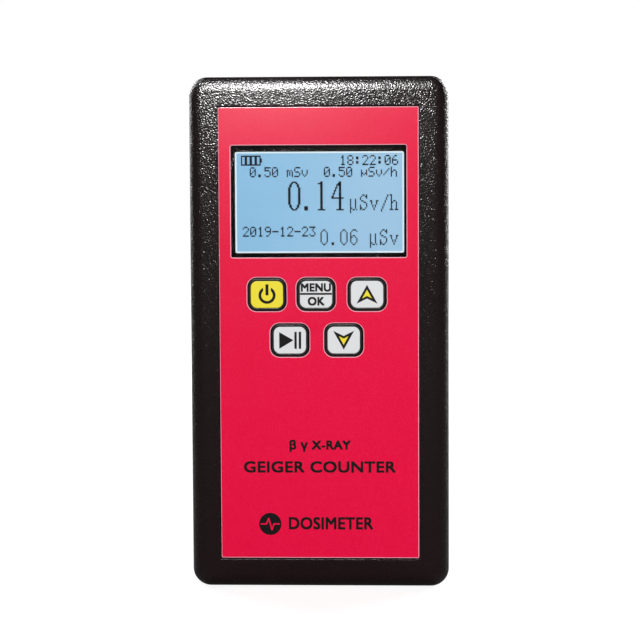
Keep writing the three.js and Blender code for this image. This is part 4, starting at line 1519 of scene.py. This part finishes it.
@dataclass
class Display:
    """The lit dot-matrix panel, its dots and the clear window over them."""

    columns: int = 128
    rows: int = 64
    pitch_x: float = 0.337
    pitch_z: float = 0.395
    shift_x: float = 0.4
    shift_z: float = 0.14
    dot_grow: float = 0.1
    dot_thick: float = 0.03
    margin_x: float = 2.3
    margin_z: float = 2.38
    view_shift: float = 0.2
    dot_clear: float = 0.005
    ledge_height: float = 1.2
    polariser_inset: float = 0.7
    polariser_step: float = 0.05
    polariser_depth: float = 0.03
    glass_soft: float = 0.08
    window_corner: float = 0.8
    window_soft: float = 0.15
    guide_chamfer: float = 0.5
    guide_corner: float = 0.6
    lines: tuple[Line, ...] = (
        Line("b", BATTERY_MARK, 17, 0, 0),
        Line("18:22:06", SMALL_GLYPHS, 6, 80, 0),
        Line("0.50 mSv", SMALL_GLYPHS, 6, 7, 8),
        Line("0.50 µSv/h", SMALL_GLYPHS, 6, 67, 8),
        Line("0", BIG_GLYPHS, 12, 38, 18),
        Line(".", BIG_GLYPHS, 12, 51, 18),
        Line("1", BIG_GLYPHS, 12, 61, 18),
        Line("4", BIG_GLYPHS, 12, 73, 18),
        Line("µSv/h", TALL_GLYPHS, 8, 88, 27),
        Line("2019-12-23", SMALL_GLYPHS, 6, 1, 49),
        Line("0.06", TALL_GLYPHS, 8, 64, 51),
        Line("µSv", TALL_GLYPHS, 8, 104, 51),
    )

    def build(self) -> list[Piece]:
        """Models the panel, the dots, the window and the backlight."""
        return [self.build_panel(), self.build_dots(), self.build_window(), self.build_frame()]

    @classmethod
    def view(cls) -> Span:
        """The part of the panel that shows through the front shell."""
        glass = Span.of("lcd_glass").grown(-cls.margin_x, 0, -cls.margin_z)
        shift = Vector((cls.view_shift, 0, 0))
        return Span(glass.low + shift, glass.high + shift)

    def build_panel(self) -> Piece:
        """Two sheets of glass with a connection ledge and a polariser on the front."""
        span = Span.of("lcd_glass")
        panel = block("lcd_panel", span)
        past = Vector((CUT_PAST, CUT_PAST, CUT_PAST))
        corner = Vector((span.high.x + CUT_PAST, span.middle.y, span.low.z + self.ledge_height))
        ledge = Span(span.low - past, corner)
        carve(panel, block("ledge", ledge))
        bevel(panel, sharp(in_plane(Axis.Y, span.low.y)), self.glass_soft, 2)
        with shaping(panel, Element.FACE, in_plane(Axis.Y, span.low.y)):
            bpy.ops.mesh.inset(thickness=self.polariser_inset * MM, depth=0)
            bpy.ops.mesh.inset(thickness=self.polariser_step * MM, depth=-self.polariser_depth * MM)
        polish(panel)
        lit = LitPanel("lcd_lit", LIT_BLUE, LIT_EDGE, self.view())
        return deliver(panel, "case", [lit], ["lcd_glass"])

    def build_dots(self) -> Piece:
        """The lit dots: a grid of which only the lit cells are kept, each one widened and thickened."""
        span = Span.of("lcd_glass")
        middle = span.middle + Vector((self.shift_x, 0, self.shift_z))
        front = span.low.y - self.dot_thick - self.dot_clear
        width, height = self.columns * self.pitch_x, self.rows * self.pitch_z
        lit = set().union(*(line.dots() for line in self.lines))
        pick()
        bpy.ops.mesh.primitive_grid_add(
            x_subdivisions=self.columns, y_subdivisions=self.rows, size=1, rotation=(math.pi / 2, 0, 0),
            location=Vector((middle.x, front, middle.z)) * MM,
        )
        bpy.context.object.scale = (width * MM, height * MM, 1)
        dots = settle("lcd_dots")

        def dark(face: bmesh.types.BMFace) -> bool:
            spot = face.calc_center_median() / MM
            column = int((spot.x - middle.x + width / 2) / self.pitch_x)
            row = int((middle.z + height / 2 - spot.z) / self.pitch_z)
            return (column, row) not in lit

        with shaping(dots, Element.FACE, dark):
            bpy.ops.mesh.delete(type="FACE")
            bpy.ops.mesh.select_all(action="SELECT")
            bpy.ops.mesh.edge_split(type="EDGE")
            bpy.ops.mesh.inset(thickness=self.dot_grow * MM, use_outset=True)
            thicken(self.dot_thick)
        return deliver(dots, "case", [DOT_NAVY])

    def build_window(self) -> Piece:
        """The clear window, with softened edges, in its pocket under the overlay."""
        span = Span.of("display_window")
        window = rounded("clear_window", span, self.window_corner, 4)
        for depth in (span.low.y, span.high.y):
            bevel(window, sharp(in_plane(Axis.Y, depth)), self.window_soft, 2)
        polish(window, 25)
        return deliver(window, "case", [WINDOW_CLEAR], ["display_window"])

    def build_frame(self) -> Piece:
        """The backlight's diffuser with its light guide's chamfered edge."""
        span = Span.of("lcd_backlight")
        guide = block("backlight_guide", span)
        bevel(guide, in_plane(Axis.Y, span.low.y), self.guide_chamfer, 2)
        bevel(guide, parallel(Axis.Y), self.guide_corner, 3)
        polish(guide)
        return deliver(guide, "case", [DIFFUSER], ["lcd_backlight"])


# ---------------------------------------------------------------- keys
class KeyName(Enum):
    """The five keys, by the name that their nodes start with."""

    POWER = "power"
    MENU = "menu"
    UP = "up"
    PLAY = "play"
    DOWN = "down"


@dataclass
class Key:
    """One key: a black cap on a flange, a coloured face set in it, and its mark."""

    name: KeyName
    corner: float = 2.2
    flange: float = 1.2
    flange_thick: float = 0.7
    flange_gap: float = 0.2
    face_inset: float = 0.45
    face_drop: float = 0.05
    face_narrow: float = 0.13
    seat_gap: float = 0.03
    seat_deep: float = 0.05
    rim_soft: float = 0.14
    face_soft: float = 0.2
    ink: float = 0.025
    bold: float = 0.12
    ring_radius: float = 1.95
    ring_stroke: float = 0.76
    ring_gap: float = 2.1
    line_inset: float = 0.2
    line_low: float = -0.1
    line_high: float = 0.42
    arrow_middle: float = 0.64
    pause_bar: float = 0.64

    @classmethod
    def opening(cls, name: KeyName, gap: float, start: float, stop: float) -> Piece:
        """A cutter for the hole that a key's cap stands in.

        Args:
            name: The key.
            gap: The space between the cap and the hole's edge.
            start: The depth at which the cutter starts.
            stop: The depth at which it ends.

        Returns:
            The cutter.
        """
        wider = cls.face_inset + gap
        hole = Span.of(f"{name.value}_key_face").grown(wider, 0, wider).between(start, stop)
        return rounded("key_hole", hole, cls.corner + gap, 8)

    @property
    def body(self) -> str:
        """The body that the key's pieces move with."""
        return f"{self.name.value}_button"

    def build(self) -> list[Piece]:
        """Models the cap, the face and the mark."""
        return [self.build_cap(), self.build_face(), *self.build_mark()]

    def build_cap(self) -> Piece:
        """The black cap: its rim is rounded and its face is sunk to hold the coloured one."""
        span = Span.of(f"{self.name.value}_key")
        face = Span.of(f"{self.name.value}_key_face")
        front, back = span.low.y, span.high.y
        top = span.grown(-self.flange, 0, -self.flange).between(front, back - self.flange_gap)
        cap = rounded(f"{self.name.value}_key_cap", top, self.corner, 8)
        base = span.between(back - self.flange_thick, back)
        weld(cap, rounded("flange", base, self.corner + self.flange, 8))
        wider = self.seat_gap - self.face_narrow
        seat = face.grown(wider, 0, wider).between(front - CUT_PAST, face.high.y + self.seat_deep)
        carve(cap, rounded("seat", seat, self.corner - self.face_inset, 8))
        bevel(cap, sharp(in_plane(Axis.Y, front)), self.rim_soft, 3)
        polish(cap)
        return deliver(cap, self.body, [KEY_BLACK], [f"{self.name.value}_key"])

    def build_face(self) -> Piece:
        """The coloured face, a little crowned at its edges."""
        span = Span.of(f"{self.name.value}_key_face")
        front = span.low.y + self.face_drop
        outline = span.grown(-self.face_narrow, 0, -self.face_narrow).between(front, span.high.y)
        plate = rounded(f"{self.name.value}_key_plate", outline, self.corner - self.face_inset, 8)
        bevel(plate, sharp(in_plane(Axis.Y, front)), self.face_soft, 4)
        polish(plate)
        yellow = self.name is KeyName.POWER
        finish = KEY_YELLOW if yellow else KEY_WHITE
        return deliver(plate, self.body, [finish], [f"{self.name.value}_key_face"])

    @property
    def middle(self) -> Vector:
        """The middle of the face, at the front of its ink."""
        span = Span.of(f"{self.name.value}_key_face")
        return Vector((span.middle.x, span.low.y + self.face_drop - self.ink, span.middle.z))

    def ink_block(self, name: str, x0: float, x1: float, z0: float, z1: float) -> Piece:
        """A flat bar of ink, from its place on the key."""
        at = self.middle
        return block(name, Span(at + Vector((x0, 0, z0)), at + Vector((x1, self.ink, z1))))

    def ink_outline(self, name: str, corners: Sequence[tuple[float, float]]) -> Piece:
        """A flat body of ink with four corners, shaped from a plane."""
        at = self.middle
        pick()
        bpy.ops.mesh.primitive_plane_add(size=1)
        piece = settle(name)
        for index, (x, z) in zip((0, 1, 3, 2), corners):
            piece.data.vertices[index].co = (at + Vector((x, 0, z))) * MM
        with shaping(piece, Element.FACE, lambda face: True):
            thicken(self.ink)
        return piece

    def build_mark(self) -> list[Piece]:
        """The mark of this key."""
        marks = {
            KeyName.POWER: self.power_mark, KeyName.MENU: self.menu_mark, KeyName.UP: self.arrow_mark,
            KeyName.PLAY: self.play_mark, KeyName.DOWN: self.arrow_mark,
        }
        mark = polish(marks[self.name](f"{self.name.value}_mark"))
        finishes = [BLACK_INK, KEY_YELLOW] if len(mark.material_slots) > 1 else [BLACK_INK]
        return [deliver(mark, self.body, finishes)]

    def power_mark(self, name: str) -> Piece:
        """An open ring with a bar in its gap."""
        at = self.middle + Vector((0.05, self.ink, -0.2))
        run, half_stroke = Run(at), self.ring_stroke / 2
        ring = run.bar(name, at.y, at.y - self.ink, self.ring_radius + half_stroke, 56)
        carve(ring, run.bar("hole", at.y + CUT_PAST, at.y - CUT_PAST, self.ring_radius - half_stroke, 48))
        half = self.ring_gap / 2
        gap = Span(at + Vector((-half, -CUT_PAST, 0)), at + Vector((half, CUT_PAST, self.ring_radius * 2)))
        carve(ring, block("gap", gap))
        return gather(name, ring, self.ink_block("stem", -0.36, 0.46, -0.2, 2.8))

    def menu_mark(self, name: str) -> Piece:
        """MENU over OK, with a line between them."""
        above, below = self.middle + Vector((0, 0, 1.9)), self.middle + Vector((0.05, 0, -1.85))
        menu = lettering("menu_word", "MENU", above, 8.2, 2.3, self.ink, self.bold)
        ok = lettering("ok_word", "OK", below, 4.6, 2.4, self.ink, self.bold)
        half = Span.of(f"{self.name.value}_key_face").size.x / 2 - self.line_inset
        line = self.ink_block("line", -half, half, self.line_low, self.line_high)
        return gather(name, menu, ok, line)

    def arrow_mark(self, name: str) -> Piece:
        """A notched arrowhead with a yellow middle, pointing up or down."""
        up = 1 if self.name is KeyName.UP else -1
        corners = [(0, up * 2.6), (up * 2.85, -up * 2.55), (0, -up * 1.15), (-up * 2.85, -up * 2.55)]
        mark = self.ink_outline(name, corners)
        second_slot(mark)
        with shaping(mark, Element.FACE, in_plane(Axis.Y, self.middle.y)):
            bpy.ops.mesh.inset(thickness=self.arrow_middle * MM, depth=0)
            put_in_second_slot()
        return mark

    def play_mark(self, name: str) -> Piece:
        """A triangle and two bars."""
        triangle = self.ink_outline("triangle", [(-2.9, 2.25), (0.85, 0.08), (0.85, -0.08), (-2.9, -2.35)])
        bars = [self.ink_block("bar", left, left + self.pause_bar, -2.35, 2.3) for left in (1.25, 2.45)]
        return gather(name, triangle, *bars)


# ---------------------------------------------------------------- cells and contacts
@dataclass
class Cells:
    """Three cells with rolled shoulders, a crimped top and a printed sleeve."""

    nub: float = 1.9
    nub_height: float = 0.9
    nub_root: float = 0.6
    nub_soft: float = 0.35
    roll: float = 0.55
    sleeve_inset: float = 0.9
    crimp: float = 0.12
    flat_sink: float = 0.18
    top_sink: float = 0.25
    band: float = 9.5

    def build(self) -> list[Piece]:
        """Models each cell the way up that it lies in the bay."""
        return [self.build_cell(number, number == 2) for number in (1, 2, 3)]

    def build_cell(self, number: int, upward: bool) -> Piece:
        """One cell, from its flat end to its positive nub."""
        span = Span.of(f"battery_cell_{number}")
        radius = span.size.x / 2
        up = 1 if upward else -1
        flat, tip = (span.low.z, span.high.z) if upward else (span.high.z, span.low.z)

        def at(along: float) -> Vector:
            return Vector((span.middle.x, span.middle.y, flat + up * along))
        length = abs(tip - flat)
        can = length - self.nub_height
        cell = bar(f"cell_{number}", at(0), at(can), radius, 48)
        for end in (flat, flat + up * can):
            bevel(cell, in_plane(Axis.Z, end), self.roll, 4)
        for end, sink in ((flat, self.flat_sink), (flat + up * can, self.top_sink)):
            with shaping(cell, Element.FACE, in_plane(Axis.Z, end)):
                bpy.ops.mesh.inset(thickness=self.sleeve_inset * MM, depth=0)
                bpy.ops.mesh.inset(thickness=self.crimp * MM, depth=-sink * MM)
        nub = bar("nub", at(can - self.nub_root), at(length), self.nub, 32)
        weld(cell, bevel(nub, in_plane(Axis.Z, tip), self.nub_soft, 3))
        second_slot(cell)
        rim = (radius - self.roll - self.sleeve_inset * 0.5) * MM

        def end_metal(face: bmesh.types.BMFace) -> bool:
            spot = face.calc_center_median()
            return math.hypot(spot.x - span.middle.x * MM, spot.y - span.middle.y * MM) < rim

        with shaping(cell, Element.FACE, end_metal):
            put_in_second_slot()
        polish(cell)
        edge = flat + up * (can - self.band)
        sleeve = Sleeve(f"cell_sleeve_{number}", SLEEVE_BLUE, SLEEVE_SILVER, edge, upward)
        return deliver(cell, "case", [sleeve, NICKEL], [f"battery_cell_{number}"])


@dataclass
class Contacts:
    """The plated contact plates and the conical springs on three of them."""

    wire: float = 0.35
    turns: int = 5
    wide: float = 3.5
    narrow: float = 1.8
    spring_start: float = 0.15
    spring_rise: float = 4.9
    plate: float = 0.4
    plate_front: float = 1.8
    plate_back: float = 9.4
    plate_corner: float = 0.8
    tail_half: float = 1.4
    tail_back: float = 2.6
    tail_corner: float = 0.3
    steps: int = 26

    def build(self) -> list[Piece]:
        """Models each contact in place of its node."""
        plan = {"negative": "battery_cell_1", "link_top": "battery_cell_3", "link_bottom": "battery_cell_2",
                "positive": None}
        return [self.build_contact(f"battery_contact_{name}", cell) for name, cell in plan.items()]

    def build_contact(self, node: str, sprung: str | None) -> Piece:
        """A plate with rounded corners, with its spring where it has one."""
        span = Span.of(node)
        on_top = span.middle.z > Span.of("battery_cell_1").middle.z
        low, high = span.low.copy(), span.high.copy()
        if on_top:
            low.z = high.z - self.plate
        else:
            high.z = low.z + self.plate
        low.y, high.y = self.plate_front, self.plate_back
        plate = block(node.replace("battery_contact", "contact_plate"), Span(low, high))
        bevel(plate, parallel(Axis.Z), self.plate_corner, 4)
        parts = [plate]
        if span.low.y < RearShell.bay_front:
            mid = (low.x + high.x) / 2
            tail = Span(Vector((mid - self.tail_half, span.low.y, low.z)),
                        Vector((mid + self.tail_half, self.tail_back, high.z)))
            parts.append(bevel(block("tail", tail), parallel(Axis.Z), self.tail_corner, 2))
        if sprung:
            start, up = (low.z, -1) if on_top else (high.z, 1)
            parts.append(self.spring(Span.of(sprung).middle, start, up))
        weld(*parts)
        polish(plate, 40)
        return deliver(plate, "case", [NICKEL], [node])

    def spring(self, axis: Vector, plate_z: float, up: int) -> Piece:
        """A conical coil of round wire, swept along a narrowing helix."""
        count = self.turns * self.steps
        path = bpy.data.curves.new("coil", "CURVE")
        path.dimensions = "3D"
        path.bevel_depth = self.wire * MM
        path.bevel_resolution = 2
        path.use_fill_caps = True
        line = path.splines.new("POLY")
        line.points.add(count)
        for index, point in enumerate(line.points):
            share = index / count
            turn = share * self.turns * 2 * math.pi
            radius = self.wide + (self.narrow - self.wide) * share
            rise = self.spring_start + share * self.spring_rise
            spot = axis + Vector((radius * math.cos(turn), radius * math.sin(turn), 0))
            spot.z = plate_z + up * rise
            point.co = (*(spot * MM), 1)
        coil = bpy.data.objects.new("coil", path)
        bpy.context.scene.collection.objects.link(coil)
        pick(coil)
        bpy.ops.object.convert(target="MESH")
        return settle("coil")


# ---------------------------------------------------------------- pieces that keep their frame shape
@dataclass
class CarriedParts:
    """The inner pieces whose frame shape is already right, each given its finish."""

    def build(self) -> list[Piece]:
        """Dresses the nodes that are still shown."""
        finishes = {
            "lcd_frame": CHIP_BLACK, "lcd_ribbon": RIBBON, "main_board": BOARD_GREEN, "buzzer": CHIP_BLACK,
            "hv_transformer": COPPER, "hv_capacitor": ALUMINIUM, "microcontroller": CHIP_BLACK,
            "crystal": STEEL, "gm_tube": TUBE_GLASS, "gm_tube_cathode_cap": STEEL,
            "gm_tube_anode_cap": STEEL, "tube_shield": TIN, "tube_clip_bottom": BRASS, "tube_clip_top": BRASS,
            "battery_lead_negative": BLACK_WIRE, "battery_lead_positive": RED_WIRE,
        }
        finishes |= {screw: STEEL for screw in BOARD_SCREWS}
        for key in KeyName:
            finishes[f"{key.value}_switch"] = STEEL
            finishes[f"{key.value}_switch_plunger"] = SWITCH_BLACK
        shown = []
        for name, finish in finishes.items():
            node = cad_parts[name]
            dress(node, [finish])
            LOG.info("%s: kept from the frame", name)
            shown.append(node)
        return shown


def main() -> None:
    """Builds the studio and every sub-assembly in order."""
    logging.basicConfig(level=logging.INFO, format="%(name)s: %(message)s")
    Studio().build()
    assemblies = [
        FrontShell(), RearShell(), BatteryDoor(), CaseScrews(), Overlay(), Display(),
        *(Key(name) for name in KeyName), Cells(), Contacts(), CarriedParts(),
    ]
    for assembly in assemblies:
        pieces = assembly.build()
        LOG.info("%s: %d pieces", type(assembly).__name__, len(pieces))


if __name__ == "__main__":
    main()
